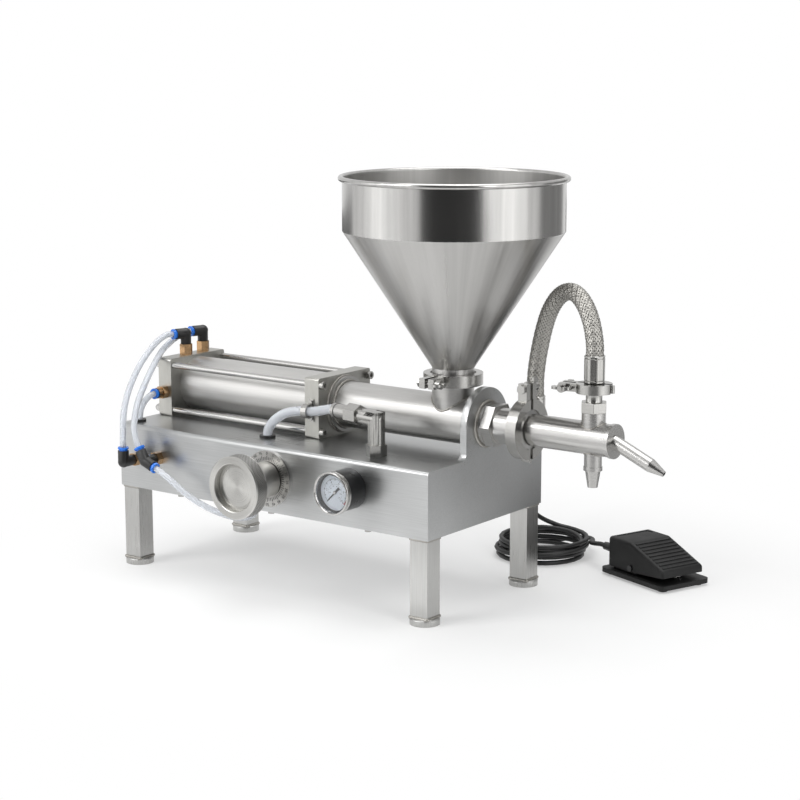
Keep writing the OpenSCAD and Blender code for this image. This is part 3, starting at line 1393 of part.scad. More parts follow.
// The foot switch, turned on the floor behind the right-hand end
pedal_x = 350;
pedal_y = 224;
pedal_turn = -19.5;
pedal_corner = 8;
pedal_gland_y = -22;
pedal_gland_z = 31;
pedal_foot_d = 12;
pedestal_w = 57;
pedestal_l = 43.5;
pedestal_h = 30;
pedestal_x = -45.5;
base_top = pedal_foot_h + pedal_base_t;
skirt_z = base_top + 3;
toe_z = 17;
heel_x = -52;
brow_x = -10;
toe_x = 54;
module at_pedal() { translate([pedal_x, pedal_y, 0]) rotate(pedal_turn) children(); }
module pedal_base() {
    color([0.1, 0.1, 0.1]) at_pedal() difference() {
        union() {
            translate([0, 0, pedal_foot_h]) linear_extrude(pedal_base_t) round_rect(pedal_l, pedal_w, pedal_corner);
            for (x = [-1, 1], y = [-1, 1])
                translate([x * (pedal_l / 2 - pedal_foot_d), y * (pedal_w / 2 - pedal_foot_d), 0])
                    cylinder(d = pedal_foot_d, h = pedal_foot_h + over);
            translate([pedestal_x, -pedestal_w / 2, base_top - over])
                cube([pedestal_l, pedestal_w, pedestal_h + over]);
        }
        translate([axle_x, -pedal_w, axle_z]) rotate([-90, 0, 0]) cylinder(d = pedal_pin_d, h = 2 * pedal_w);
    }
}
module treadle_side(t) {
    polygon([
        [heel_x + t, skirt_z - (t > 0 ? over : 0)], [heel_x + t, treadle_h - t], [brow_x, treadle_h - t],
        [toe_x - t, treadle_toe_h - t], [toe_x - t, toe_z - (t > 0 ? over : 0)],
        [axle_x, skirt_z - (t > 0 ? over : 0)],
    ]);
}
rib_w = 2.6;
rib_h = 1.2;
notch_w = 15;
notch_z = 41;
boss_d = 8;
plunger_boss_h = 3.6;
spring_boss_h = 7.4;
spring_x = 42;
pedal_spring_d = 10;
pedal_wire_d = 1.4;
spring_seat_z = 20;
module treadle_slab(t) {
    rotate([90, 0, 0]) translate([0, 0, -treadle_w / 2 + t]) linear_extrude(treadle_w - 2 * t) treadle_side(t);
}
module pedal_treadle() {
    slope = atan((treadle_h - treadle_toe_h) / (toe_x - brow_x));
    slope_l = (toe_x - brow_x) / cos(slope);
    color([0.13, 0.13, 0.13]) at_pedal() difference() {
        union() {
            difference() {
                treadle_slab(0);
                treadle_slab(treadle_wall);
            }
            translate([brow_x, 0, treadle_h]) rotate([0, slope, 0]) for (i = [1:rib_n])
                translate([slope_l * i / (rib_n + 1) - rib_w / 2, -treadle_w / 2 + rib_w, -over])
                    cube([rib_w, treadle_w - 2 * rib_w, over + rib_h]);
            translate([plunger_x, 0, plunger_top + slide_gap + boss_d / 2]) {
                sphere(d = boss_d);
                cylinder(d = boss_d, h = plunger_boss_h);
            }
            translate([spring_x, 0, spring_seat_z]) cylinder(d = boss_d, h = spring_boss_h);
        }
        translate([axle_x, -pedal_w, axle_z]) rotate([-90, 0, 0])
            cylinder(d = pedal_pin_d + 2 * run_gap, h = 2 * pedal_w);
        translate([heel_x - over, pedal_gland_y - notch_w / 2, 0]) cube([treadle_wall + 2 * over, notch_w, notch_z]);
    }
}
pin_head_d = 8;
pin_head_h = 1.6;
module pedal_pin() {
    half = treadle_w / 2 + slide_gap;
    color("silver") at_pedal() translate([axle_x, 0, axle_z]) rotate([90, 0, 0]) {
        cylinder(d = pedal_pin_d, h = 2 * half, center = true);
        for (s = [0, 1]) mirror([0, 0, s]) translate([0, 0, half]) cylinder(d = pin_head_d, h = pin_head_h);
    }
}
module pedal_spring() {
    color("gray") at_pedal() translate([spring_x, 0, base_top])
        spring(pedal_spring_d, spring_seat_z - base_top - run_gap, pedal_wire_d, valve_curls - 1);
}
switch_l = 28;
switch_w = 12;
switch_h = 15;
plunger_d = 5;
plunger_top = 29;
plunger_reach = 9;
module micro_switch() {
    color("dimgray") at_pedal() translate([plunger_x, 0, base_top]) difference() {
        union() {
            translate([-switch_l / 2, -switch_w / 2, 0]) cube([switch_l, switch_w, switch_h]);
            for (k = [-1, 0, 1]) translate([k * switch_l / 3, switch_w / 2 + over, switch_h / 4])
                cube([over * 3, over * 6, over], center = true);
        }
        translate([0, 0, switch_h - plunger_reach]) cylinder(d = plunger_d + 2 * run_gap, h = plunger_reach + over);
    }
}
module switch_plunger() {
    color("firebrick") at_pedal() translate([plunger_x, 0, base_top + switch_h - plunger_reach / 2])
        cylinder(d = plunger_d, h = plunger_top - base_top - switch_h + plunger_reach / 2);
}

// The cord: a hanging lead, a coil of four layers, and a tail to the pedal
coil_x = 172;
coil_y = 238;
coil_pitch = 8;
coil_rise = 7;
coil_layers = 4;
coil_start = 75;
coil_turns = 4.85;
coil_steps = 24;
coil_floor = 0.2;
climb_turns = 0.5;
layer_turns = (coil_turns - climb_turns * (coil_layers - 1)) / coil_layers;
coil_top_z = cord_d / 2 + coil_floor + coil_rise * (coil_layers - 1);
function ease(t) = (1 - cos(180 * t)) / 2;
function coil_at(turn) =
    let(
        span = layer_turns + climb_turns,
        layer = min(coil_layers - 1, floor(turn / span)),
        t = turn - layer * span,
        run = min(1, t / layer_turns),
        climb = max(0, (t - layer_turns) / climb_turns),
        inward = layer % 2 == 0 ? run : 1 - run,
        r = coil_r - coil_pitch * inward,
        a = coil_start - 360 * turn
    ) [coil_x + r * cos(a), coil_y + r * sin(a), coil_top_z - coil_rise * (layer + ease(climb))];
coil_rings = ceil(coil_turns * coil_steps);
coil_wound = [for (i = [0:coil_rings]) coil_at(coil_turns * i / coil_rings)];
coil_end = coil_start - 360 * coil_turns;
head_way = [sin(coil_start), -cos(coil_start), 0];
tail_way = [sin(coil_end), -cos(coil_end), 0];
coil_head = coil_wound[0] - head_way * cord_d;
coil_tail = coil_wound[coil_rings] + tail_way * cord_d;
coil_route = concat([coil_head], coil_wound, [coil_tail]);
gland_mouth = [gland_x, box_w / 2 + gland_hex_t + gland_nose_l, gland_z];
pedal_way = [cos(pedal_turn), sin(pedal_turn), 0];
pedal_side = [-sin(pedal_turn), cos(pedal_turn), 0];
pedal_mouth = [pedal_x, pedal_y, pedal_gland_z] + (pedestal_x - pedal_gland_l) * pedal_way
    + pedal_gland_y * pedal_side;
lead_route = concat(
    [for (s = [-cord_bite, 1, 8]) gland_mouth + [0, s, 0]],
    [[198.5, 158.5, 113], [191.5, 175, 108], [180.5, 193, 99], [168, 210.5, 88], [156, 228, 75.5],
        [146.5, 245, 63], [141.5, 260, 52], [141, 274, 42], [145, 285, 34.5], [152.5, 293.5, 29],
        [162.5, 298, 25.5]],
    [for (s = [8, 0]) coil_head - head_way * s]
);
tail_route = concat(
    [for (s = [0, 8]) coil_tail + tail_way * s],
    [[160.5, 303, 5.5], [174.5, 306, 9], [189, 306, 12], [203.5, 302.5, 14.5], [217, 291, 17],
        [227.5, 275, 20], [236, 257.5, 23.5], [245, 242.5, 27], [257, 233.5, 29.5]],
    [pedal_mouth - pedal_way * 10, pedal_mouth, pedal_mouth + pedal_way * cord_bite]
);
echo(coil_gap = least_gap(coil_wound, cord_d, 12));
echo(cord_length = reach(coil_route) + reach(smooth(lead_route, 2)) + reach(smooth(tail_route, 2)));
echo(hose_length = reach(hose_route));
echo(tube_lengths = [for (r = [route_a, route_b, route_c, route_f, route_s]) reach(smooth(r, 2))]);
module cord_leads() {
    color([0.08, 0.08, 0.08]) {
        swept(smooth(lead_route, 2), cord_d, 10);
        swept(smooth(tail_route, 2), cord_d, 10);
    }
}
module cord_coil() { color([0.08, 0.08, 0.08]) swept(coil_route, cord_d, 6); }

base_housing();
end_plate();
bottom_cover();
legs();
machine_screws();
rear_cap();
front_cap();
cylinder_barrel();
tie_rods();
static_seals();
air_piston();
piston_rod();
product_piston();
piston_seals();
product_cylinder();
hopper();
hopper_clamp();
outlet_clamp();
hose_clamp();
outlet_nut();
outlet_tube();
nozzle_body();
angled_spout();
drip_tip();
hose_port();
hose_sleeves();
braided_hose();
wing_nut_hopper();
wing_nut_outlet();
wing_nut_hose();
inlet_valve();
inlet_spring();
outlet_valve();
outlet_spring();
handwheel();
dial_plate();
regulator_body();
regulator_needle();
gauge_case();
gauge_bezel();
gauge_lens();
gauge_needle();
brass_fittings();
fitting_bodies();
collar_a();
collar_b();
collar_c();
collar_d();
collar_e();
collar_f();
air_tubes();
supply_fittings();
solenoid_valve();
cord_glands();
pedal_base();
pedal_treadle();
pedal_pin();
pedal_spring();
micro_switch();
switch_plunger();
cord_leads();
cord_coil();
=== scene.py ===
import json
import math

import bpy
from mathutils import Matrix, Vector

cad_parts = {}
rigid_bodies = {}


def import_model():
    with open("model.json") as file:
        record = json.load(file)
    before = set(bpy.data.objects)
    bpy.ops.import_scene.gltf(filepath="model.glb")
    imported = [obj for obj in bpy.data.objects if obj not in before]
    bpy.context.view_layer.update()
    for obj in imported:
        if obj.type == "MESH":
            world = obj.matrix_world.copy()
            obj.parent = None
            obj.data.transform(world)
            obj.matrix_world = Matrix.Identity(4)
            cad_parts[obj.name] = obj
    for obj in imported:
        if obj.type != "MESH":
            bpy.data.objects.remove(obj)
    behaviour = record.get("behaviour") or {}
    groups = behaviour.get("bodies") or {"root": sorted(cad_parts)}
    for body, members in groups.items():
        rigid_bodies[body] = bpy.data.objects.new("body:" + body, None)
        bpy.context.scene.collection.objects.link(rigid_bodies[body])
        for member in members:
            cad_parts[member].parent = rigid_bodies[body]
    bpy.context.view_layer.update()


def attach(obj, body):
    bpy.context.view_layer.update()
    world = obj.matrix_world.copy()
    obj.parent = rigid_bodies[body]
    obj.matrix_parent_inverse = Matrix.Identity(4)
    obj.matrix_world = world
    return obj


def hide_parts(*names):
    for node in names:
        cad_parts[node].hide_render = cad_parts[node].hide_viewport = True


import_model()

# %% [markdown]
# # A bench-top piston filler for pastes
#
# The machine is stainless steel: a folded box on four legs, an air cylinder that pushes a product piston, a
# conical hopper, a clamped nozzle, a braided hose, and a foot switch on a cord. The solids come from the
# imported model. This file gives them their finishes and adds what solids alone can't show: knurling, dials,
# weld beads, braid and cords. All places below are written in millimetres, and one helper turns them to
# metres.


def mm(x, y, z):
    """A place written in millimetres, as a vector in metres."""
    return Vector((x, y, z)) / 1000


def srgb(text):
    """A colour written as #rrggbb, as the linear numbers that Blender's sockets take."""
    parts = [int(text[i:i + 2], 16) / 255 for i in (1, 3, 5)]
    return tuple(p / 12.92 if p <= 0.04045 else ((p + 0.055) / 1.055) ** 2.4 for p in parts) + (1.0,)


def add_node(tree, kind, inputs=None, **settings):
    """Add one node. Inputs are values, sockets to link, or other nodes, which give their first output."""
    made = tree.nodes.new(kind)
    for name, value in settings.items():
        setattr(made, name, value)
    for name, value in (inputs or {}).items():
        value = value.outputs[0] if isinstance(value, bpy.types.Node) else value
        if isinstance(value, bpy.types.NodeSocket):
            tree.links.new(value, made.inputs[name])
        else:
            made.inputs[name].default_value = value
    return made


def start_finish(name, **sockets):
    """A new material with one Principled shader. Its sockets are named with _ for a space."""
    finish = bpy.data.materials.new(name)
    finish.use_nodes = True
    tree = finish.node_tree
    tree.nodes.clear()
    shader = add_node(tree, "ShaderNodeBsdfPrincipled", {k.replace("_", " "): v for k, v in sockets.items()})
    add_node(tree, "ShaderNodeOutputMaterial", {"Surface": shader})
    return finish, tree, shader


def link_shader(tree, shader, **sources):
    """Link sockets, or nodes for their first output, to the shader's sockets."""
    for name, source in sources.items():
        source = source.outputs[0] if isinstance(source, bpy.types.Node) else source
        tree.links.new(source, shader.inputs[name.replace("_", " ")])


# %% [markdown]
# ## Camera
#
# The photograph was taken with a long lens from the front right, a little above the machine. The place and
# the angle of view were worked out from edges and circles in the photograph, so that the render lines up
# with it. A look-at turn is simpler than setting three angles by hand.

# %% Camera
camera_data = bpy.data.cameras.new("studio_camera")
camera = bpy.data.objects.new("studio_camera", camera_data)
bpy.context.scene.collection.objects.link(camera)
half_width, focal_length = 400, 2020.75  # both in pixels of the photograph
camera_data.sensor_width = 36
camera_data.angle = 2 * math.atan(half_width / focal_length)
camera_aim, camera_reach = mm(115.29, 0, 237.72), 2.47664
azimuth, elevation = math.radians(36.76), math.radians(10.69)
away = Vector((math.sin(azimuth), -math.cos(azimuth), math.tan(elevation))).normalized()
camera.location = camera_aim + away * camera_reach
camera.rotation_euler = away.to_track_quat("Z", "Y").to_euler()
bpy.context.scene.camera = camera
print("camera at", [round(v, 4) for v in camera.location], "lens", round(camera_data.lens, 1), "mm")

# %% [markdown]
# ## Cords and tubes
#
# The cord of the foot switch leaves a gland at the back of the box, falls to the floor, lies in a coil of
# about five turns, and runs on into the switch. The air tubes are stiff clear plastic, bent in free arcs
# between their fittings. Each is one open curve with a round bevel, which keeps its length and thickness
# true, and follows the points that the solid model also follows.

# %% Smooth routes
def smoothed(points, parts=3):
    """Points of a smooth line through the given ones, which is a Catmull-Rom spline."""
    line = []
    for i in range(len(points) - 1):
        a, b = points[max(i - 1, 0)], points[i]
        c, d = points[i + 1], points[min(i + 2, len(points) - 1)]
        for k in range(parts):
            t = k / parts
            line.append(0.5 * (2 * b + (c - a) * t + (2 * a - 5 * b + 4 * c - d) * t * t
                               + (3 * b - a - 3 * c + d) * t * t * t))
    return line + [points[-1]]


def line_length(line):
    """Length of a line of points, in metres."""
    return sum((b - a).length for a, b in zip(line, line[1:]))


def spots(*places):
    """Places written in millimetres, as a list of vectors in metres."""
    return [mm(*place) for place in places]


def soft_curve(name, line, thickness, sides=5):
    """A round cord in one open spline. Half the thickness is each point's radius, so its box is true."""
    data = bpy.data.curves.new(name, "CURVE")
    data.dimensions = "3D"
    data.bevel_depth = 1.0
    data.bevel_resolution = sides
    data.use_fill_caps = True
    spline = data.splines.new("POLY")
    spline.points.add(len(line) - 1)
    for point, place in zip(spline.points, line):
        point.co, point.radius = (*place, 1), thickness / 2
    spline.use_smooth = True
    piece = bpy.data.objects.new(name, data)
    bpy.context.scene.collection.objects.link(piece)
    return piece


# %% The coil of the foot switch's cord
cord_d = 6.2
coil_x, coil_y, coil_radius = 172, 238, 60
turns, start_angle, layer_count, rise, pitch, climb = 4.85, 75, 4, 7, 8, 0.5
layer_turns = (turns - climb * (layer_count - 1)) / layer_count


def coil_place(turn):
    """A place on the coil after so many turns. The layers go down, and alternate inwards and outwards."""
    layer = min(layer_count - 1, math.floor(turn / (layer_turns + climb)))
    over = turn - layer * (layer_turns + climb)
    run = min(1, over / layer_turns)
    fall = (1 - math.cos(math.pi * max(0, (over - layer_turns) / climb))) / 2
    radius = coil_radius - pitch * (run if layer % 2 == 0 else 1 - run)
    angle = math.radians(start_angle - 360 * turn)
    height = cord_d / 2 + 0.2 + rise * (layer_count - 1) - rise * (layer + fall)
    return mm(coil_x + radius * math.cos(angle), coil_y + radius * math.sin(angle), height)


def towards(degrees):
    """A level way of one millimetre, at an angle from the right as seen from above."""
    return Vector((math.cos(math.radians(degrees)), math.sin(math.radians(degrees)), 0)) / 1000


coil_steps = math.ceil(turns * 24)
wound = [coil_place(turns * i / coil_steps) for i in range(coil_steps + 1)]
head_way, tail_way = towards(start_angle - 90), towards(start_angle - 90 - 360 * turns)
coil_head, coil_tail = wound[0] - head_way * cord_d, wound[-1] + tail_way * cord_d
print("coil:", turns, "turns,", round(line_length(wound), 3), "m")

# %% The cord from its gland at the back, by its coil, to the foot switch
pedal_x, pedal_y, pedal_turn = 350, 224, -19.5
pedal_way, pedal_side = towards(pedal_turn), towards(pedal_turn + 90)
pedal_mouth = mm(pedal_x, pedal_y, 31) - 71 * pedal_way - 22 * pedal_side
lead = spots((200, 134, 114), (200, 141, 114), (200, 148, 114), (198.5, 158.5, 113), (191.5, 175, 108),
             (180.5, 193, 99), (168, 210.5, 88), (156, 228, 75.5), (146.5, 245, 63), (141.5, 260, 52),
             (141, 274, 42), (145, 285, 34.5), (152.5, 293.5, 29), (162.5, 298, 25.5))
lead += [coil_head - head_way * 8, coil_head]
tail = [coil_tail, coil_tail + tail_way * 8]
tail += spots((160.5, 303, 5.5), (174.5, 306, 9), (189, 306, 12), (203.5, 302.5, 14.5), (217, 291, 17),
              (227.5, 275, 20), (236, 257.5, 23.5), (245, 242.5, 27), (257, 233.5, 29.5))
tail += [pedal_mouth - pedal_way * 10, pedal_mouth, pedal_mouth + pedal_way * 6]
cord_line = smoothed(lead, 2) + wound + smoothed(tail, 2)
pedal_cord = soft_curve("pedal_cord", cord_line, cord_d / 1000)
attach(pedal_cord, "machine")
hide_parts("cord_leads", "cord_coil")
print("cord of the foot switch:", round(line_length(cord_line), 3), "m")

# %% Air tubes: the ways that their fittings point, and their routes
tube_d, supply_d, tube_wall = 8, 12, 0.16
elbow_at, elbow_turn = mm(143, -84, 231), 169.7


def in_panel(degrees):
    """A way of one millimetre in the plane of the front panel, at an angle from the right."""
    return Vector((math.cos(math.radians(degrees)), 0, math.sin(math.radians(degrees)))) / 1000


def leaving(port, way, *steps):
    """Places straight out of a fitting, at so many millimetres from its middle."""
    return [port + way * step for step in steps]


cap_front, cap_back, cap_straight = spots((-229, -10.5, 290), (-229, 22.5, 290), (-229, -52, 218))
panel_elbow, panel_branch = spots((-216, -145, 142), (-178, -145, 148))
cap_way, front_way, up = towards(251.5), towards(270), in_panel(90)
tube_routes = {
    "air_tube_a": leaving(cap_front, cap_way, 3, 15, 21, 29)
    + spots((-242, -56, 280), (-241, -85, 257), (-235, -112, 230), (-224, -134, 204))
    + leaving(panel_elbow, up, 29, 21, 15, 3),
    "air_tube_b": leaving(cap_back, cap_way, 3, 15, 20, 25)
    + spots((-242.5, -13, 284), (-243.5, -28, 277), (-240, -45, 269.5), (-233, -65, 258.5), (-224, -91, 240),
            (-212, -121, 215), (-200, -141, 190))
    + leaving(panel_branch, in_panel(121), 29, 21, 15, 3),
    "air_tube_c": leaving(cap_straight, front_way, 5, 17)
    + spots((-229, -77.5, 217.3), (-229.2, -85, 214.5), (-229.5, -92, 208.8), (-229.8, -97, 201),
            (-230, -99, 191), (-230, -99, 184), (-230, -99, 166)),
    "air_tube_f": leaving(panel_branch, in_panel(-21.5), 3, 15, 21, 29)
    + spots((-137, -145, 130.5), (-121.5, -143.5, 120.5), (-105, -140, 110), (-88.5, -134.5, 101),
            (-72, -127, 93.5), (-58, -118, 88.5), (-46.5, -108, 86.5), (-38.5, -100.5, 90), (-34, -96, 101.4),
            (-34, -96, 118)),
    "supply_tube": spots((-32, -78, 174), (-32, -78, 189), (-29.5, -77, 199), (-22, -73, 209.5),
                         (-10, -66.5, 217.5), (9, -61, 221.5), (18, -61, 222), (27, -61, 222.5),
                         (44, -64, 226.5))
    + leaving(elbow_at, towards(elbow_turn), 82, 74, 60),
}
print("air tubes:", ", ".join(tube_routes))

# %% Air tubes as hollow cords
air_tubes = []
for name, points in tube_routes.items():
    line = smoothed(points, 8)
    thickness = supply_d if name == "supply_tube" else tube_d
    tube = soft_curve(name, line, thickness / 1000, 6)
    wall = tube.modifiers.new("tube_wall", "SOLIDIFY")
    wall.thickness, wall.offset = thickness * tube_wall / 1000, -1
    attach(tube, "machine")
    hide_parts("air_tubes")
    air_tubes.append(tube)
    print(name, round(line_length(line) * 1000), "mm")

# %% [markdown]
# ## Braided hose
#
# The hose is a rubber tube in a sleeve of woven steel wire. The weave is what the eye catches, so it is
# built: bands of wires run round both ways, and pass over and under each other. Each band is a thin ribbon
# that follows a helix on the hose, and lifts and dips at each crossing. The bands are drawn a little wider
# apart than in the real weave, so that the dark rubber between them can be told from afar.

# %% The line of the hose and frames along it
hose_d, core_d = 20.8, 19.2
side_port_x, side_port_y, nozzle_x = 284, 44, 392
arch_foot, arch_height, arch_bulge = 256, 131, 12
shares = ((0, 0.16), (0.004, 0.31), (0.03, 0.45), (0.085, 0.62), (0.165, 0.775), (0.29, 0.905), (0.435, 0.98),
          (0.59, 1), (0.73, 0.96), (0.85, 0.875), (0.935, 0.765), (0.985, 0.64))
hose_points = spots((side_port_x, side_port_y, 248), (side_port_x, side_port_y, 257))
for over, up_share in shares:
    back = side_port_y + arch_bulge * up_share * min(1, 200 * over)
    hose_points.append(mm(side_port_x + (nozzle_x - side_port_x) * over, back * (1 - over),
                          arch_foot + arch_height * up_share))
hose_points += spots((nozzle_x, 0, 329), (nozzle_x, 0, 322), (nozzle_x, 0, 313))
hose_line = smoothed(hose_points, 12)
hose_core = soft_curve("hose_core", hose_line, core_d / 1000, 6)
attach(hose_core, "machine")
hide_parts("braided_hose")
print("hose core:", len(hose_line), "points")


def frames_along(line):
    """A place, a side and another side for each point of a line, which don't twist."""
    side = Vector((0, 0, 1)).cross((line[1] - line[0]).normalized())
    side = side.normalized() if side.length > 0.1 else Vector((1, 0, 0))
    found = []
    for i, place in enumerate(line):
        way = (line[min(i + 1, len(line) - 1)] - line[max(i - 1, 0)]).normalized()
        side = (side - way * side.dot(way)).normalized()
        found.append((place, side, way.cross(side)))
    return found


# %% The woven bands
def woven_sleeve(name, line, radius, bands, lead_length, band_width, lift):
    """Ribbons round a line, half of them each way, in one mesh. Sizes in metres."""
    frames = frames_along(line)
    travelled = [0.0]
    for a, b in zip(line, line[1:]):
        travelled.append(travelled[-1] + (b - a).length)
    steps = int(travelled[-1] / lead_length * bands * 2 * 3)
    stations, at = [], 0
    for k in range(steps + 1):
        gone = travelled[-1] * k / steps
        while at < len(travelled) - 2 and travelled[at + 1] < gone:
            at += 1
        t = (gone - travelled[at]) / max(travelled[at + 1] - travelled[at], 1e-9)
        place, side, other = (a.lerp(b, t) for a, b in zip(frames[at], frames[at + 1]))
        stations.append((gone, place, side.normalized(), other.normalized()))
    slope = math.atan2(2 * math.pi * radius, lead_length)
    section = ((-0.5, 0.525), (-0.25, 0.0), (0.25, 0.0), (0.5, 0.525))
    corners, faces = [], []
    for turn_way in (1, -1):
        for band in range(bands):
            first = len(corners)
            for gone, place, side, other in stations:
                angle = turn_way * 2 * math.pi * gone / lead_length + 2 * math.pi * band / bands
                crossing = 2 * bands * gone / lead_length + (band if turn_way > 0 else -band)
                height = radius + lift * math.cos(math.pi * crossing) * turn_way
                outward = side * math.cos(angle) + other * math.sin(angle)
                around = (other * math.cos(angle) - side * math.sin(angle)) * turn_way
                along = (side.cross(other) * math.cos(slope) + around * math.sin(slope)).normalized()
                across = along.cross(outward) * band_width
                for share, drop in section:
                    corners.append(place + outward * (height - drop * lift) + across * share)
            for k in range(steps):
                for a in range(first + k * 4, first + k * 4 + 3):
                    faces.append((a, a + 1, a + 5, a + 4))
    mesh = bpy.data.meshes.new(name)
    mesh.from_pydata(corners, [], faces)
    for face in mesh.polygons:
        face.use_smooth = True
    sleeve = bpy.data.objects.new(name, mesh)
    bpy.context.scene.collection.objects.link(sleeve)
    return sleeve


braid_lift = 0.38
hose_braid = woven_sleeve("hose_braid", hose_line, radius=(hose_d / 2 - braid_lift) / 1000, bands=14,
                          lead_length=0.066, band_width=0.00222, lift=braid_lift / 1000)
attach(hose_braid, "machine")
print("hose:", round(line_length(hose_line) * 1000), "mm,", len(hose_braid.data.polygons), "faces of braid")

# %% [markdown]
# ## Studio
#
# A white floor, a white surround and large soft lamps are how such a machine is photographed. Bright metal
# has no colour of its own to speak of, and shows what is round it, so dark and lit cards stand outside the
# picture, as a photographer's flags and reflectors do, and give the steel its dark bands and bright edges.
# The lamps stay at a plain level.

# %% Floor that fades to the white surround
fade_middle, fade_start, fade_end, near_glow = mm(120, 50, 0), 260, 620, 0.36
floor_finish, tree, shader = start_finish("white_floor", Base_Color=srgb("#f4f4f3"), Roughness=0.6,
                                          Specular_IOR_Level=0.25)
surface = next(n for n in tree.nodes if n.type == "OUTPUT_MATERIAL")
ray = add_node(tree, "ShaderNodeLightPath").outputs
direct = add_node(tree, "ShaderNodeMath", {0: ray["Is Camera Ray"], 1: ray["Is Glossy Ray"]}, operation="ADD")
seen = add_node(tree, "ShaderNodeMath", {0: direct, 1: ray["Is Transmission Ray"]}, operation="ADD",
                use_clamp=True)
place = add_node(tree, "ShaderNodeTexCoord").outputs["Object"]
apart = add_node(tree, "ShaderNodeVectorMath", {0: place, 1: fade_middle}, operation="DISTANCE")
far = add_node(tree, "ShaderNodeMapRange",
               {"Value": apart.outputs["Value"], "From Min": fade_start / 1000, "From Max": fade_end / 1000,
                "To Min": near_glow, "To Max": 1.0}, interpolation_type="SMOOTHSTEP")
white = add_node(tree, "ShaderNodeMath", {0: far, 1: seen}, operation="MULTIPLY")
glow = add_node(tree, "ShaderNodeEmission", {"Color": (1, 1, 1, 1), "Strength": 1.0})
mixed = add_node(tree, "ShaderNodeMixShader", {0: white, 1: shader, 2: glow})
tree.links.new(mixed.outputs[0], surface.inputs["Surface"])
bpy.ops.mesh.primitive_plane_add(size=24, location=(0, 0, -0.0002))
floor = bpy.context.object
floor.name = "floor"
floor.data.materials.append(floor_finish)
print("floor fades to white between", fade_start, "and", fade_end, "mm from its middle")

# %% White surround, with colours shown as they are written
bpy.context.scene.view_settings.view_transform = "Standard"
world = bpy.data.worlds.new("studio")
bpy.context.scene.world = world
world.use_nodes = True
tree = world.node_tree
tree.nodes.clear()
ray = add_node(tree, "ShaderNodeLightPath").outputs
way = add_node(tree, "ShaderNodeTexCoord").outputs["Generated"]
split = add_node(tree, "ShaderNodeSeparateXYZ", {0: way})
side_light = add_node(tree, "ShaderNodeMapRange", {"Value": split.outputs["X"], "From Min": -1.0,
                                                   "From Max": 1.0, "To Min": 0.9, "To Max": 0.7})
plain = add_node(tree, "ShaderNodeBackground", {"Color": srgb("#f2f3f5"), "Strength": 0.50})
reflected = add_node(tree, "ShaderNodeBackground", {"Color": (1, 1, 1, 1), "Strength": side_light})
backdrop = add_node(tree, "ShaderNodeBackground", {"Color": (1, 1, 1, 1), "Strength": 1.0})
for_metal = add_node(tree, "ShaderNodeMixShader", {0: ray["Is Glossy Ray"], 1: plain, 2: reflected})
clear = add_node(tree, "ShaderNodeMath", {0: ray["Is Camera Ray"], 1: ray["Is Transmission Ray"]},
                 operation="ADD", use_clamp=True)
whole = add_node(tree, "ShaderNodeMixShader", {0: clear, 1: for_metal, 2: backdrop})
add_node(tree, "ShaderNodeOutputWorld", {"Surface": whole})
print("surround:", len(tree.nodes), "nodes")


# %% Soft lamps
machine_x, machine_z = 120, 200


def turn_to(piece, aim):
    """Turn a lamp or a card so that it faces a place in millimetres."""
    piece.rotation_euler = (piece.location - mm(*aim)).to_track_quat("Z", "Y").to_euler()


def soft_lamp(name, place, width, height, watts):
    """A soft lamp that lights the machine. Its width and height are in metres."""
    data = bpy.data.lights.new(name, "AREA")
    data.shape, data.size, data.size_y, data.energy = "RECTANGLE", width, height, watts
    lamp = bpy.data.objects.new(name, data)
    bpy.context.scene.collection.objects.link(lamp)
    lamp.location = mm(*place)
    turn_to(lamp, (machine_x, 0, machine_z))
    lamp.visible_camera = False
    print(name, watts, "watts from", place)


soft_lamp("key_lamp", (-900, -2100, 1500), 1.3, 1.3, 36)
soft_lamp("side_lamp", (2300, -700, 1200), 0.9, 1.6, 14)
soft_lamp("top_lamp", (100, 200, 2300), 1.8, 1.8, 26)


# %% Cards that the steel reflects
def card_finish(name, colour, glow):
    """A card's paper. Glow is the light that it gives off, where it stands for a lit reflector."""
    return start_finish(name, Base_Color=srgb(colour), Roughness=0.9, Emission_Color=(1, 1, 1, 1),
                        Emission_Strength=glow)[0]


def card(name, place, width, height, paper, aim):
    """A flat card that only reflections see. Its sizes and places are in millimetres."""
    bpy.ops.mesh.primitive_plane_add(size=1)
    made = bpy.context.object
    made.name = name
    made.scale = (width / 1000, height / 1000, 1)
    made.location = mm(*place)
    turn_to(made, aim)
    made.data.materials.append(paper)
    made.visible_camera = made.visible_shadow = made.visible_diffuse = made.visible_transmission = False


def standing(name, degrees, distance, width, top, paper):
    """A card that stands and faces the machine. Degrees go round from the front to the right."""
    low = 8
    middle = (low + top) / 2
    x, y = machine_x + distance * math.sin(math.radians(degrees)), -distance * math.cos(math.radians(degrees))
    card(name, (x, y, middle), width, top - low, paper, (machine_x, 0, middle))


def lying(name, x, y, width, depth, paper):
    """A card that lies just over the floor."""
    card(name, (x, y, 12), width, depth, paper, (x, y, -500))


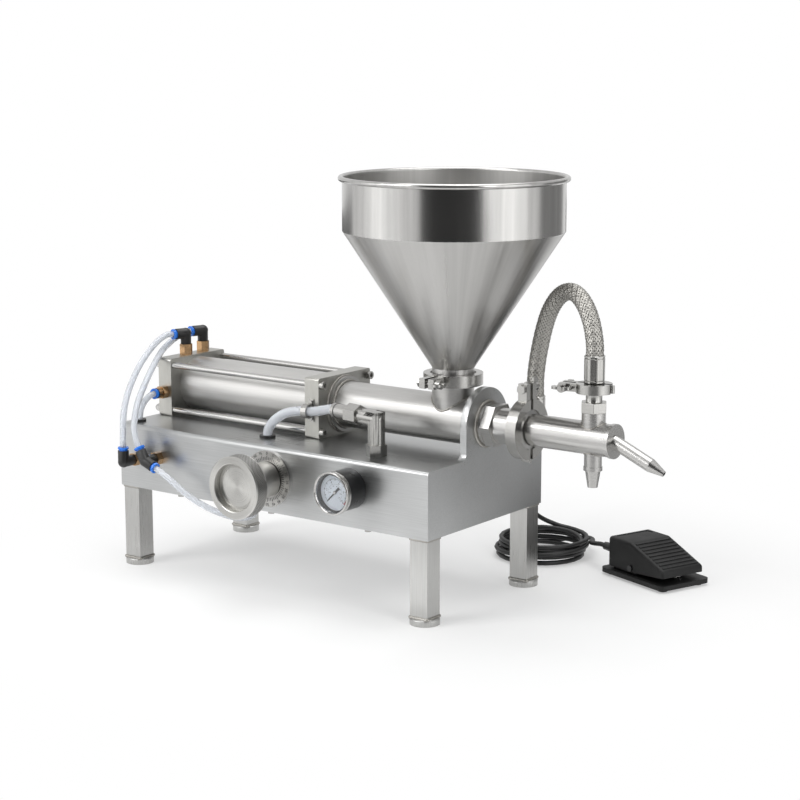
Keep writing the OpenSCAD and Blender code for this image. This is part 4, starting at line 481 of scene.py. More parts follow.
black_paper = card_finish("black_card", "#101010", 0.015)
grey_paper = card_finish("grey_card", "#2c2c2c", 0.12)
pale_paper = card_finish("pale_card", "#2c2c2c", 0.26)
soft_paper = card_finish("soft_card", "#2c2c2c", 0.42)
lit_paper = card_finish("lit_card", "#a0a0a0", 0.9)
bright_paper = card_finish("bright_card", "#a0a0a0", 1.15)
glowing_paper = card_finish("glowing_card", "#a0a0a0", 1.4)
standing("front_black_card", 35, 1150, 1290, 1300, black_paper)
standing("left_lit_card", -40, 1500, 1350, 1200, lit_paper)
standing("right_lit_card", 92, 1500, 1000, 1300, bright_paper)
standing("back_left_grey_card", -128, 1500, 2500, 330, grey_paper)
standing("back_right_grey_card", 150, 1500, 1300, 900, pale_paper)
standing("left_bright_card", -44, 1440, 420, 1200, glowing_paper)
standing("right_bright_card", 90, 1440, 330, 1300, glowing_paper)
lying("front_floor_lit_card", 0, -222, 520, 150, lit_paper)
lying("left_floor_grey_card", -540, -790, 420, 500, soft_paper)
lying("right_floor_grey_card", 840, 620, 600, 900, soft_paper)
lying("back_floor_black_card", 310, 560, 420, 450, black_paper)

# %% [markdown]
# ## Steel
#
# Nearly all of the machine is stainless steel, 304 or 316 grade, finished in three ways. The folded sheet
# and the cone are brushed to a satin, which spreads a reflection along the grain. The hopper's band, the
# tubes and the clamps are polished. Grooves of a brushed finish are about 0.02 mm apart, far too fine to
# show, so the streaks here are about a millimetre wide, as they look from this distance.

# %% Brushed and polished steel
def steel(name, tones, rough, grain, groove=0.00002):
    """Stainless steel. Grain is the streaks in a metre along x, y and z, and groove their depth in metres."""
    finish, tree, shader = start_finish(name, Metallic=1.0)
    place = add_node(tree, "ShaderNodeTexCoord").outputs["Object"]
    stretch = add_node(tree, "ShaderNodeMapping", {"Vector": place, "Scale": grain})
    streaks = add_node(tree, "ShaderNodeTexNoise", {"Vector": stretch, "Scale": 1.0, "Detail": 3.0,
                                                    "Roughness": 0.6})
    clouds = add_node(tree, "ShaderNodeTexNoise", {"Vector": place, "Scale": 7.0, "Detail": 3.0})
    both = add_node(tree, "ShaderNodeMath", {0: streaks, 1: clouds}, operation="ADD")
    share = add_node(tree, "ShaderNodeMapRange", {"Value": both, "From Min": 0.7, "From Max": 1.3})
    tone = add_node(tree, "ShaderNodeMix", {0: share, 6: srgb(tones[0]), 7: srgb(tones[1])},
                    data_type="RGBA")
    gloss = add_node(tree, "ShaderNodeMapRange", {"Value": both, "From Min": 0.7, "From Max": 1.3,
                                                  "To Min": rough[0], "To Max": rough[1]})
    relief = add_node(tree, "ShaderNodeBump", {"Height": streaks, "Strength": 0.6, "Distance": groove})
    link_shader(tree, shader, Base_Color=tone.outputs[2], Roughness=gloss, Normal=relief)
    return finish


# Sheet and legs are brushed along their length, so a reflection spreads across it in soft streaks.
sheet_steel = steel("brushed_sheet_304", ("#adaeae", "#c1c2c2"), (0.27, 0.38), (14, 900, 900))
upright_steel = steel("brushed_leg_304", ("#adacaa", "#c0c0be"), (0.25, 0.36), (800, 800, 18))
# Drawn tubes differ in how far they were polished, from a soft sheen on the barrel to a near mirror on rods.
barrel_steel = steel("drawn_barrel_304", ("#b9b8b6", "#c6c5c3"), (0.38, 0.46), (20, 700, 700), 0.00001)
satin_steel = steel("satin_tube_304", ("#b4b3b1", "#c2c1bf"), (0.31, 0.37), (18, 500, 500), 0.000002)
tube_steel = steel("polished_tube_316", ("#b2b1af", "#c2c1bf"), (0.22, 0.29), (25, 600, 600), 0.000006)
rod_steel = steel("ground_rod_steel", ("#b6b5b3", "#c6c5c3"), (0.18, 0.24), (40, 900, 900), 0.000003)
# Milled caps keep a matt face, small turned parts are even and bright, and wires are a little duller.
cap_steel = steel("milled_cap_304", ("#abaaa5", "#b8b7b2"), (0.32, 0.40), (200, 200, 60), 0.000006)
bright_steel = steel("machined_steel_303", ("#aeadaa", "#b9b8b5"), (0.24, 0.28), (30, 30, 30), 0.0000005)
braid_wire = steel("braided_wire_304", ("#a3a19c", "#b9b7b2"), (0.44, 0.5), (30, 30, 30), 0.0000005)
spring_wire = steel("drawn_spring_wire", ("#8f8f8d", "#a3a3a1"), (0.22, 0.32), (400, 400, 400), 0.00001)
piston_metal = steel("turned_aluminium", ("#c8c9cb", "#d6d7d9"), (0.2, 0.3), (700, 60, 60), 0.00001)
print("materials with the plain metals:", len(bpy.data.materials))

# %% The hopper: patterns that run round its axis
hopper_x, band_foot, band_full, band_bore = 195, 449.5, 452.5, 131.7
hopper_steel, tree, shader = start_finish("hopper_steel_304", Metallic=1.0)
place = add_node(tree, "ShaderNodeTexCoord").outputs["Object"]
split = add_node(tree, "ShaderNodeSeparateXYZ", {0: place})
east = add_node(tree, "ShaderNodeMath", {0: split.outputs["X"], 1: hopper_x / 1000}, operation="SUBTRACT")
angle = add_node(tree, "ShaderNodeMath", {0: split.outputs["Y"], 1: east}, operation="ARCTAN2")
polar = add_node(tree, "ShaderNodeCombineXYZ", {"X": angle, "Y": split.outputs["Z"]})
spun = add_node(tree, "ShaderNodeMapping", {"Vector": polar, "Scale": (1.2, 900, 1)})
grooves = add_node(tree, "ShaderNodeTexNoise", {"Vector": spun, "Scale": 1.0, "Detail": 3.0})
drawn = add_node(tree, "ShaderNodeMapping", {"Vector": polar, "Scale": (16, 3, 1)})
fans = add_node(tree, "ShaderNodeTexNoise", {"Vector": drawn, "Scale": 1.0, "Detail": 4.0,
                                             "Roughness": 0.55})
print("hopper: patterns round x", hopper_x, "mm, band from", band_foot, "mm up")

# %% The hopper: polished band, satin cone and duller mouth in one finish
in_band = add_node(tree, "ShaderNodeMapRange", {"Value": split.outputs["Z"], "From Min": band_foot / 1000,
                                                "From Max": band_full / 1000})
level = add_node(tree, "ShaderNodeCombineXYZ", {"X": east, "Y": split.outputs["Y"]})
radius = add_node(tree, "ShaderNodeVectorMath", {0: level}, operation="LENGTH").outputs["Value"]
inside = add_node(tree, "ShaderNodeMath", {0: radius, 1: band_bore / 1000}, operation="LESS_THAN")
in_mouth = add_node(tree, "ShaderNodeMath", {0: inside, 1: in_band}, operation="MULTIPLY")
tone = add_node(tree, "ShaderNodeMix", {0: fans, 6: srgb("#a6a5a3"), 7: srgb("#c6c5c3")},
                data_type="RGBA")
satin = add_node(tree, "ShaderNodeMapRange", {"Value": fans, "From Min": 0.3, "From Max": 0.7,
                                              "To Min": 0.27, "To Max": 0.40})
banded = add_node(tree, "ShaderNodeMix", {0: in_band, 2: satin, 3: 0.20})
gloss = add_node(tree, "ShaderNodeMix", {0: in_mouth, 2: banded, 3: 0.36})
relief = add_node(tree, "ShaderNodeBump", {"Height": grooves, "Strength": 0.5, "Distance": 0.00001})
link_shader(tree, shader, Base_Color=tone.outputs[2], Roughness=gloss, Normal=relief)
print("hopper finish:", len(tree.nodes), "nodes")


# %% [markdown]
# ## Plastics, rubber, brass and paint
#
# The fittings are moulded nylon with a fine spark-eroded skin, the release collars are glossy acetal, and
# the tubes are polyurethane, which is clear with a milky cast. The pedal is moulded ABS with a coarser
# skin. Each gets a mottled roughness and a fine relief, because a flat colour would look like paint on a
# screen.

# %% Moulded and rubbed finishes
def moulded(name, tones, rough, grit, depth, **sockets):
    """A plastic, rubber, paint, brass or weld. Grit is its grains in a metre, and depth their height."""
    finish, tree, shader = start_finish(name, **sockets)
    place = add_node(tree, "ShaderNodeTexCoord").outputs["Object"]
    grains = add_node(tree, "ShaderNodeTexNoise", {"Vector": place, "Scale": grit, "Detail": 3.0})
    clouds = add_node(tree, "ShaderNodeTexNoise", {"Vector": place, "Scale": 40.0, "Detail": 3.0})
    tone = add_node(tree, "ShaderNodeMix", {0: clouds, 6: srgb(tones[0]), 7: srgb(tones[1])},
                    data_type="RGBA")
    gloss = add_node(tree, "ShaderNodeMapRange", {"Value": clouds, "From Min": 0.3, "From Max": 0.7,
                                                  "To Min": rough[0], "To Max": rough[1]})
    relief = add_node(tree, "ShaderNodeBump", {"Height": grains, "Strength": 0.5, "Distance": depth})
    link_shader(tree, shader, Base_Color=tone.outputs[2], Roughness=gloss, Normal=relief)
    return finish


pedal_abs = moulded("moulded_abs_black", ("#0b0b0b", "#101010"), (0.46, 0.58), 1500, 0.00004,
                    Specular_IOR_Level=0.36)
fitting_nylon = moulded("moulded_nylon_black", ("#141414", "#1f1f1f"), (0.32, 0.46), 1800, 0.00003)
collar_acetal = moulded("moulded_acetal_blue", ("#1666cf", "#2a7fe6"), (0.18, 0.28), 900, 0.00001)
cord_rubber = moulded("extruded_rubber_black", ("#101010", "#1a1a1a"), (0.34, 0.46), 900, 0.00002)
seal_rubber = moulded("nitrile_rubber", ("#161616", "#202020"), (0.5, 0.62), 900, 0.00002)
white_ptfe = moulded("turned_ptfe_white", ("#e2e1dc", "#ededea"), (0.35, 0.45), 700, 0.00001)
red_acetal = moulded("moulded_acetal_red", ("#a5201c", "#b82a24"), (0.25, 0.35), 900, 0.00001)
black_enamel = moulded("stoved_enamel_black", ("#0e0e0f", "#17181a"), (0.26, 0.36), 500, 0.00002)
grey_enamel = moulded("stoved_enamel_grey", ("#8b8d90", "#97999c"), (0.3, 0.4), 500, 0.00002)
turned_brass = moulded("turned_brass", ("#a98763", "#bf9e78"), (0.2, 0.3), 300, 0.000003, Metallic=1.0)
lens_glass = start_finish("lens_glass", Base_Color=srgb("#fbfcfd"), Roughness=0.03, IOR=1.5,
                          Transmission_Weight=1.0)[0]
print("materials with plastics, brass and glass:", len(bpy.data.materials))

# %% Milky clear tube: part of the light passes, and its low index keeps the air inside from turning it dark
clear_tube, tree, shader = start_finish("clear_polyurethane", Roughness=0.14, IOR=1.3,
                                        Transmission_Weight=0.6)
place = add_node(tree, "ShaderNodeTexCoord").outputs["Object"]
clouds = add_node(tree, "ShaderNodeTexNoise", {"Vector": place, "Scale": 12.0, "Detail": 1.0})
tone = add_node(tree, "ShaderNodeMix", {0: clouds, 6: srgb("#e9ecf1"), 7: srgb("#f4f6f9")},
                data_type="RGBA")
link_shader(tree, shader, Base_Color=tone.outputs[2])
print("clear tube:", len(tree.nodes), "nodes")

# %% Which finish each solid has, also where a piece of this file stands for it
finishes = {
    sheet_steel: ("base_housing", "bottom_cover", "end_plate"),
    upright_steel: ("legs",),
    cap_steel: ("rear_cap", "front_cap"),
    barrel_steel: ("cylinder_barrel",),
    satin_steel: ("product_cylinder", "outlet_nut"),
    tube_steel: ("outlet_tube", "nozzle_body", "angled_spout", "drip_tip"),
    rod_steel: ("tie_rods", "piston_rod"),
    bright_steel: ("machine_screws", "hopper_clamp", "outlet_clamp", "hose_clamp", "hose_port",
                   "hose_sleeves", "wing_nut_hopper", "wing_nut_outlet", "wing_nut_hose", "handwheel",
                   "dial_plate", "gauge_bezel", "supply_fittings"),
    hopper_steel: ("hopper",),
    spring_wire: ("inlet_spring", "outlet_spring", "pedal_spring"),
    piston_metal: ("air_piston",),
    white_ptfe: ("product_piston", "inlet_valve", "outlet_valve"),
    seal_rubber: ("static_seals", "piston_seals"),
    turned_brass: ("brass_fittings", "regulator_needle"),
    fitting_nylon: ("fitting_bodies", "cord_glands", "micro_switch"),
    pedal_abs: ("pedal_base", "pedal_treadle"),
    collar_acetal: ("collar_a", "collar_b", "collar_c", "collar_d", "collar_e", "collar_f"),
    lens_glass: ("gauge_lens",),
    black_enamel: ("gauge_case", "gauge_needle", "pedal_pin"),
    grey_enamel: ("regulator_body", "solenoid_valve"),
    red_acetal: ("switch_plunger",),
    cord_rubber: ("cord_leads", "cord_coil"),
    clear_tube: ("air_tubes",),
}
for finish, names in finishes.items():
    for name in names:
        solid = bpy.data.objects[name]
        solid.data.materials.clear()
        solid.data.materials.append(finish)
pedal_cord.data.materials.append(cord_rubber)
hose_core.data.materials.append(seal_rubber)
hose_braid.data.materials.append(braid_wire)
for tube in air_tubes:
    tube.data.materials.append(clear_tube)
print("finishes:", len(finishes), "on", sum(len(names) for names in finishes.values()), "solids")

# %% [markdown]
# ## Turned pieces
#
# The handwheel, the gauge's dial and ring, and the crimped sleeves are all round. On a lathe they are cut
# by following an outline, and here the outline is drawn point by point in a plane and spun about its axis.
# Sharp corners are drawn with a small chamfer of their own, because a real edge is never quite sharp and
# its glint shows.

# %% A lathe
touching = 0.000002  # metres between points that are merged


def turned(name, outline, centre, along, steps):
    """Spin an outline about an axis through centre. Its points are millimetres along the axis, and radii."""
    axis = Vector(along).normalized()
    side = axis.orthogonal().normalized()
    places = [mm(*centre) + (axis * far + side * radius) / 1000 for far, radius in outline]
    bpy.ops.object.select_all(action="DESELECT")
    bpy.ops.mesh.primitive_plane_add(size=0.0002, location=places[0])
    piece = bpy.context.object
    piece.name = name
    bpy.ops.object.transform_apply(location=True, rotation=True, scale=True)
    bpy.ops.object.mode_set(mode="EDIT")
    bpy.ops.mesh.select_all(action="SELECT")
    bpy.ops.mesh.merge(type="CENTER")
    for a, b in zip(places, places[1:]):
        bpy.ops.mesh.extrude_vertices_move(TRANSFORM_OT_translate={"value": b - a})
    bpy.ops.mesh.select_all(action="SELECT")
    bpy.ops.mesh.spin(steps=steps, angle=2 * math.pi, center=mm(*centre), axis=axis)
    bpy.ops.mesh.select_all(action="SELECT")
    bpy.ops.mesh.remove_doubles(threshold=touching)
    bpy.ops.mesh.normals_make_consistent(inside=False)
    bpy.ops.object.mode_set(mode="OBJECT")
    bpy.ops.object.shade_smooth_by_angle(angle=math.radians(28))
    return piece


def dress(piece, body, finish, slot, *nodes):
    """Give a piece its finish, the body that it rides on, and the solids that it stands for. The slot is not
    used.
    """
    if finish is not None:
        piece.data.materials.append(finish)
    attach(piece, body)
    if nodes:
        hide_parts(*nodes)
    return piece


# %% [markdown]
# ## Handwheel
#
# The wheel that throttles the air is turned from one bar: a hub, a knurled rim for the fingers, and a
# dished face whose floor is a spun disc. A spun face has ring-shaped scratches, so its highlight opens into
# a fan. The shader's own anisotropy with a tangent that runs round the axis gives that. A knurling tool
# presses two crossing sets of grooves into the rim and leaves rows of points. Here the rim's own vertices
# go down into the same two sets of grooves, and the finish follows the same formula: painted shade darkens
# the grooves, a painted highlight lightens the points, and the points are also smoother.

# %% Spun steel for the wheel
wheel_at = (5, -120, 146)
front = (0, -1, 0)
wheel_axis = mm(wheel_at[0], 0, wheel_at[2])
wheel_finish, tree, shader = start_finish("spun_steel_303", Metallic=1.0, Anisotropic=0.7)
place = add_node(tree, "ShaderNodeTexCoord").outputs["Object"]
round_way = add_node(tree, "ShaderNodeTangent", direction_type="RADIAL", axis="Y")
centred = add_node(tree, "ShaderNodeVectorMath", {0: place, 1: wheel_axis}, operation="SUBTRACT")
flat = add_node(tree, "ShaderNodeVectorMath", {0: centred, 1: (1.0, 0.0, 1.0)}, operation="MULTIPLY")
radius = add_node(tree, "ShaderNodeVectorMath", {0: flat}, operation="LENGTH").outputs["Value"]
scratches = add_node(tree, "ShaderNodeTexNoise", {"W": radius, "Scale": 1400.0, "Detail": 2.0},
                     noise_dimensions="1D")
tone = add_node(tree, "ShaderNodeMix", {0: scratches, 6: srgb("#b0afab"), 7: srgb("#cccbc8")},
                data_type="RGBA")
gloss = add_node(tree, "ShaderNodeMapRange", {"Value": scratches, "To Min": 0.24, "To Max": 0.36})
link_shader(tree, shader, Base_Color=tone.outputs[2], Roughness=gloss, Tangent=round_way)
print("spun steel:", len(tree.nodes), "nodes")

# %% Knurled steel for its rim
knurl_count, knurl_pitch, knurl_depth = 46, 2.6, 0.4
knurl_finish, tree, shader = start_finish("knurled_steel_303", Metallic=1.0)
place = add_node(tree, "ShaderNodeTexCoord").outputs["Object"]
centred = add_node(tree, "ShaderNodeVectorMath", {0: place, 1: wheel_axis}, operation="SUBTRACT")
split = add_node(tree, "ShaderNodeSeparateXYZ", {0: centred})
angle = add_node(tree, "ShaderNodeMath", {0: split.outputs["X"], 1: split.outputs["Z"]}, operation="ARCTAN2")
turn = add_node(tree, "ShaderNodeMath", {0: angle, 1: knurl_count}, operation="MULTIPLY")
slant = add_node(tree, "ShaderNodeMath", {0: split.outputs["Y"], 1: 1000 * math.pi / knurl_pitch},
                 operation="MULTIPLY")
ridges = []
for sign in ("ADD", "SUBTRACT"):
    slanted = add_node(tree, "ShaderNodeMath", {0: turn, 1: slant}, operation=sign)
    wave = add_node(tree, "ShaderNodeMath", {0: slanted}, operation="SINE")
    ridges.append(add_node(tree, "ShaderNodeMath", {0: wave}, operation="ABSOLUTE"))
points = add_node(tree, "ShaderNodeMath", {0: ridges[0], 1: ridges[1]}, operation="MULTIPLY")
# Dark grey in the grooves is painted shade, and near white on the points is a painted highlight.
tone = add_node(tree, "ShaderNodeMix", {0: points, 6: srgb("#4f4e4c"), 7: srgb("#d6d5d2")},
                data_type="RGBA")
gloss = add_node(tree, "ShaderNodeMapRange", {"Value": points, "To Min": 0.42, "To Max": 0.26})
link_shader(tree, shader, Base_Color=tone.outputs[2], Roughness=gloss)
print("knurled steel:", len(tree.nodes), "nodes")

# %% Wheel body
rim_radius, rim_start, rim_width, rim_rows = 38.5, 47.2, 17.6, 28
wheel_outline = [(4, 0), (4, 21.4), (4.6, 22), (44, 22), (45.2, 23), (45.6, 24.6), (45.6, 36.9)]
wheel_outline += [(rim_start + rim_width * i / rim_rows, rim_radius) for i in range(rim_rows + 1)]
wheel_outline += [(66, 37.3), (66, 30.2), (65.4, 29.4), (58.2, 28.8), (56.4, 28.4), (56.4, 27), (57.2, 26.4),
                  (57.2, 25.2), (57.8, 24.6), (57.8, 0)]
handwheel = turned("handwheel_turned", wheel_outline, wheel_at, front, 8 * knurl_count)
print("wheel body:", len(handwheel.data.vertices), "vertices")

# %% Knurl: vertices of the rim pressed in, and faces with the knurl's finish
knurl_back, knurl_front = -168, -184


def out_from_wheel(place):
    """The way straight out from the wheel's axis to a place, in millimetres."""
    return Vector((place.x - wheel_axis.x, 0, place.z - wheel_axis.z)) * 1000


for vertex in handwheel.data.vertices:
    out, y = out_from_wheel(vertex.co), vertex.co.y * 1000
    if out.length > rim_radius - 0.1 and knurl_front < y < knurl_back:
        turn, slant = knurl_count * math.atan2(out.x, out.z), math.pi * y / knurl_pitch
        point = abs(math.sin(turn + slant)) * abs(math.sin(turn - slant))
        vertex.co -= out.normalized() * knurl_depth / 1000 * (1 - point)
handwheel.data.materials.append(wheel_finish)
handwheel.data.materials.append(knurl_finish)
for face in handwheel.data.polygons:
    out, y = out_from_wheel(face.center), face.center.y * 1000
    if out.length > rim_radius - 0.6 and knurl_front + 0.2 < y < knurl_back:
        face.material_index = 1
dress(handwheel, "hand_wheel", None, "polished_steel", "handwheel")
print("handwheel:", len(handwheel.data.polygons), "faces")

# %% [markdown]
# ## Dials
#
# The wheel turns in front of an engraved ring with ticks and numbers, and the gauge has a white dial with a
# red arc and a needle. Ink is thin, so the marks are thin plates that lie on the dial. A number is a text
# object that is turned to a mesh, stood up, and moved into place.

# %% Marks on a dial that faces the front
ink_black = moulded("printed_ink_black", ("#070708", "#101012"), (0.6, 0.7), 900, 0.00001)
ink_red = moulded("printed_ink_red", ("#b3222a", "#c9323a"), (0.5, 0.6), 900, 0.00001)
dial_white = moulded("printed_dial_white", ("#dfe6ee", "#e9eef4"), (0.45, 0.55), 900, 0.00001)
print("inks:", ink_black.name, "and", ink_red.name)


def dial_place(centre, angle, radius):
    """A place on a dial, at an angle from the right in degrees."""
    return mm(centre[0] + radius * math.cos(math.radians(angle)), centre[1],
              centre[2] + radius * math.sin(math.radians(angle)))


def tick(centre, angle, inner, outer, width):
    """Corners of one flat tick, seen from the front."""
    a, b = dial_place(centre, angle, inner), dial_place(centre, angle, outer)
    side = Vector((-math.sin(math.radians(angle)), 0, math.cos(math.radians(angle)))) * width / 2000
    return [a - side, b - side, b + side, a + side]


def flat_marks(name, quads):
    """One mesh of flat four-sided marks that face the front."""
    corners = [corner for quad in quads for corner in quad]
    faces = [(4 * i, 4 * i + 1, 4 * i + 2, 4 * i + 3) for i in range(len(quads))]
    mesh = bpy.data.meshes.new(name)
    mesh.from_pydata(corners, [], faces)
    marks = bpy.data.objects.new(name, mesh)
    bpy.context.scene.collection.objects.link(marks)
    return marks


def number(text, centre, angle, radius, height, tilt):
    """A number as a mesh, standing on a dial. Tilt turns it in the dial's plane."""
    bpy.ops.object.select_all(action="DESELECT")
    bpy.ops.object.text_add(location=(0, 0, 0))
    made = bpy.context.object
    made.data.body, made.data.size = text, height / 1000
    made.data.align_x, made.data.align_y = "CENTER", "CENTER"
    made.data.resolution_u = 3
    bpy.ops.object.convert(target="MESH")
    made.data.transform(Matrix.Translation(dial_place(centre, angle, radius))
                        @ Matrix.Rotation(-math.radians(tilt), 4, "Y") @ Matrix.Rotation(math.pi / 2, 4, "X"))
    return made


def joined(name, first, others):
    """Join pieces to the first one."""
    bpy.ops.object.select_all(action="DESELECT")
    for piece in others:
        piece.select_set(True)
    first.select_set(True)
    bpy.context.view_layer.objects.active = first
    bpy.ops.object.join()
    first.name = name
    return first


# %% The engraved ring behind the wheel
ring_at = (wheel_at[0], -123.12, wheel_at[2])
ring_ticks = [tick(ring_at, i * 6, 23.2, 28.4 if i % 3 == 0 else 27.2, 0.85) for i in range(60)]
ring_marks = flat_marks("ring_marks", ring_ticks)
ring_numbers = [number(str(5 * i), ring_at, 90 - 18 * i, 31.6, 5.2, -18 * i) for i in range(20)]
ring_marks = joined("ring_marks", ring_marks, ring_numbers)
ring_marks.data.materials.clear()
dress(ring_marks, "machine", ink_black, "black_paint")
print("ring of the wheel:", len(ring_ticks), "ticks and", len(ring_numbers), "numbers")

# %% The pressure gauge: its dial, and two scales and a red arc printed just in front of that
gauge_at = (131, -120, 151.5)
mark_at = (gauge_at[0], -147.22, gauge_at[2])
dial = turned("gauge_dial", [(27.02, 0), (27.02, 21.6), (27.18, 21.6), (27.18, 0)], gauge_at, front, 72)
dress(dial, "machine", dial_white, "white_plastic")


def scale_angle(share):
    """The needle's angle at a share of its travel, from the right in degrees."""
    return 225 - 270 * share


outer_ticks = [tick(mark_at, scale_angle(i / 50), 15.6 if i % 5 else 14.6, 17, 0.4 if i % 5 else 0.75)
               for i in range(51)]
inner_ticks = [tick(mark_at, scale_angle(i / 28), 9.6, 10.4 if i % 4 else 10.9, 0.35) for i in range(29)]
gauge_numbers = [number(str(2 * i), mark_at, scale_angle(i / 5), 12.7, 3.9, 0) for i in range(6)]
gauge_numbers += [number(str(20 * i), mark_at, scale_angle(i / 7), 7.7, 2.2, 0) for i in range(8)]
gauge_marks = joined("gauge_marks", flat_marks("gauge_marks", outer_ticks + inner_ticks), gauge_numbers)
gauge_marks.data.materials.clear()
dress(gauge_marks, "machine", ink_black, "black_paint")
arc_ticks = [tick(mark_at, scale_angle(0.8 + (i + 0.5) / 100), 17.2, 18.4, 0.95) for i in range(20)]
dress(flat_marks("gauge_red_arc", arc_ticks), "machine", ink_red, "red_plastic")
print("gauge:", len(outer_ticks), "and", len(inner_ticks), "ticks,", len(gauge_numbers), "numbers")

# %% Gauge ring and needle boss
ring_outline = [(29.6, 24.7), (29.6, 25.5), (30.1, 26), (31.6, 26), (31.9, 25.6), (32.3, 25.6), (32.6, 26),
                (35.8, 26), (36.9, 25.6), (37.5, 24.8), (37.5, 24.2), (36.9, 23.6), (35.9, 23.1),
                (35.6, 22.9), (35.6, 24.7), (29.6, 24.7)]
gauge_ring = turned("gauge_ring", ring_outline, gauge_at, front, 96)
dress(gauge_ring, "machine", rod_steel, "polished_steel", "gauge_bezel")
boss_outline = [(28.55, 0), (28.55, 1.9), (29.2, 1.9), (29.7, 1.4), (29.8, 0)]
needle_boss = turned("needle_boss", boss_outline, gauge_at, front, 32)
dress(needle_boss, "needle", rod_steel, "polished_steel")
print("gauge ring:", len(gauge_ring.data.polygons), "faces")

# %% [markdown]
# ## Crimped sleeves, edges and welds
#
# The hose is held by sleeves that a press has squeezed in flutes. The solids' corners get the small
# rounding that a folded, milled or moulded part has, by modifiers on top of them: their loose triangles are
# merged and their flat faces made whole before the bevel. Weld beads close the joints of legs, flanges and
# ports, and are rings of small ripples.

# %% Crimped sleeves
sleeve_bore, edge_radius, groove_radius, sleeve_radius, flutes = 10.5, 11.1, 11.3, 11.8, 8


def crimped(name, centre, length):
    """A sleeve that stands on centre, with a groove near each end and flutes pressed into its side."""
    lower = [(0, sleeve_bore), (0, edge_radius), (0.8, sleeve_radius), (2.6, sleeve_radius),
             (3.2, groove_radius), (4, sleeve_radius)]
    upper = [(length - along, radius) for along, radius in reversed(lower)]
    sleeve = turned(name, lower + upper + lower[:1], centre, (0, 0, 1), 120)
    middle = mm(*centre)
    for vertex in sleeve.data.vertices:
        out = Vector((vertex.co.x - middle.x, vertex.co.y - middle.y, 0))
        if out.length * 1000 > sleeve_radius - 0.2:
            flute = math.cos(flutes * math.atan2(out.y, out.x))
            vertex.co += out.normalized() * (0.12 + 0.3 * min(flute, 0.5)) / 1000
    dress(sleeve, "machine", bright_steel, "polished_steel", "hose_sleeves")


crimped("sleeve_upper", (nozzle_x, 0, 289), 32)
crimped("sleeve_lower", (side_port_x, side_port_y, 240), 16)
print("crimped sleeves:", flutes, "flutes in each")


# %% Rounded edges on the solids, whose own meshes stay untouched
def add_bevel(piece, name, width, segments, angle=30):
    """Round the edges that are sharper than an angle in degrees. The width is in millimetres."""
    edge = piece.modifiers.new(name, "BEVEL")
    edge.width, edge.segments, edge.limit_method = width / 1000, segments, "ANGLE"
    edge.angle_limit = math.radians(angle)
    return edge


# Each solid has the width of its rounding, in millimetres.
rounded = {"rear_cap": 1.2, "front_cap": 1.2, "legs": 0.9, "hose_port": 0.5, "pedal_base": 1.6,
           "base_housing": 0.5, "end_plate": 0.7, "fitting_bodies": 0.5}
for name, width in rounded.items():
    solid = bpy.data.objects[name]
    solid.modifiers.new("merged_points", "WELD").merge_threshold = touching
    whole = solid.modifiers.new("whole_faces", "DECIMATE")
    whole.decimate_type, whole.angle_limit = "DISSOLVE", math.radians(0.5)
    add_bevel(solid, "rounded_edge", width, 2, 35).harden_normals = True
print("rounded solids:", ", ".join(rounded))


# %% Weld beads
weld_steel = moulded("weld_bead_304", ("#8d8983", "#b9b7b2"), (0.28, 0.4), 500, 0.00003, Metallic=1.0)


def weld_bead(name, places, radius, ripple=1.7):
    """A closed bead along places in millimetres, rippled every so many millimetres."""
    loop = spots(*places, places[0])
    total = line_length(loop)
    count = max(24, int(total * 1000 / ripple) * 4)
    spread, gone, k = [], 0.0, 0
    for i in range(count):
        want = total * i / count
        while gone + (loop[k + 1] - loop[k]).length < want:
            gone += (loop[k + 1] - loop[k]).length
            k += 1
        share = (want - gone) / max((loop[k + 1] - loop[k]).length, 1e-9)
        spread.append(loop[k].lerp(loop[k + 1], share))
    data = bpy.data.curves.new(name, "CURVE")
    data.dimensions, data.bevel_depth, data.bevel_resolution = "3D", 1.0, 2
    spline = data.splines.new("POLY")
    spline.points.add(count - 1)
    spline.use_cyclic_u = True
    for i, (point, place) in enumerate(zip(spline.points, spread)):
        point.co = (*place, 1)
        point.radius = radius / 1000 * (1 + 0.07 * math.cos(math.pi * i / 2) + 0.1 * math.sin(i * 0.37))
    bead = bpy.data.objects.new(name, data)
    bpy.context.scene.collection.objects.link(bead)
    dress(bead, "machine", weld_steel, "satin_steel")


# %% Beads round the legs
def square(x, y, z, side, corner=1.6):
    """Places on a level square with rounded corners."""
    inset = side / 2 - corner
    found = []
    for quarter, (right, back) in enumerate(((1, 1), (-1, 1), (-1, -1), (1, -1))):
        for i in range(5):
            a = math.pi / 2 * quarter + math.pi / 8 * i
            out_x, out_y = corner * math.cos(a), corner * math.sin(a)
            found.append((x + right * inset + out_x, y + back * inset + out_y, z))
    return found


for side, x in (("l", -230), ("r", 230)):
    for depth, y in (("f", -105), ("b", 105)):
        weld_bead("weld_leg_top_" + side + depth, square(x, y, 103, 25.4), 1.7, 2.6)
        weld_bead("weld_foot_" + side + depth, square(x, y, 8.6, 25.8), 1.8, 2.8)

# %% Beads round the pipes, whose main line runs along x
axis_z, around = 224, [2 * math.pi * i / 90 for i in range(90)]


def ring(x, radius):
    """Places on a ring round the main line."""
    return [(x, radius * math.cos(a), axis_z + radius * math.sin(a)) for a in around]


def saddle(x, branch, pipe, way):
    """The line where a branch of one radius leaves a pipe of another radius up, down or to the back."""
    found = []
    for a in around:
        along, across = branch * math.cos(a), branch * math.sin(a)
        depth = math.sqrt(pipe * pipe - across * across)
        found.append({"up": (x + along, across, axis_z + depth), "down": (x + along, across, axis_z - depth),
                      "back": (x + along, depth, axis_z + across)}[way])
    return found


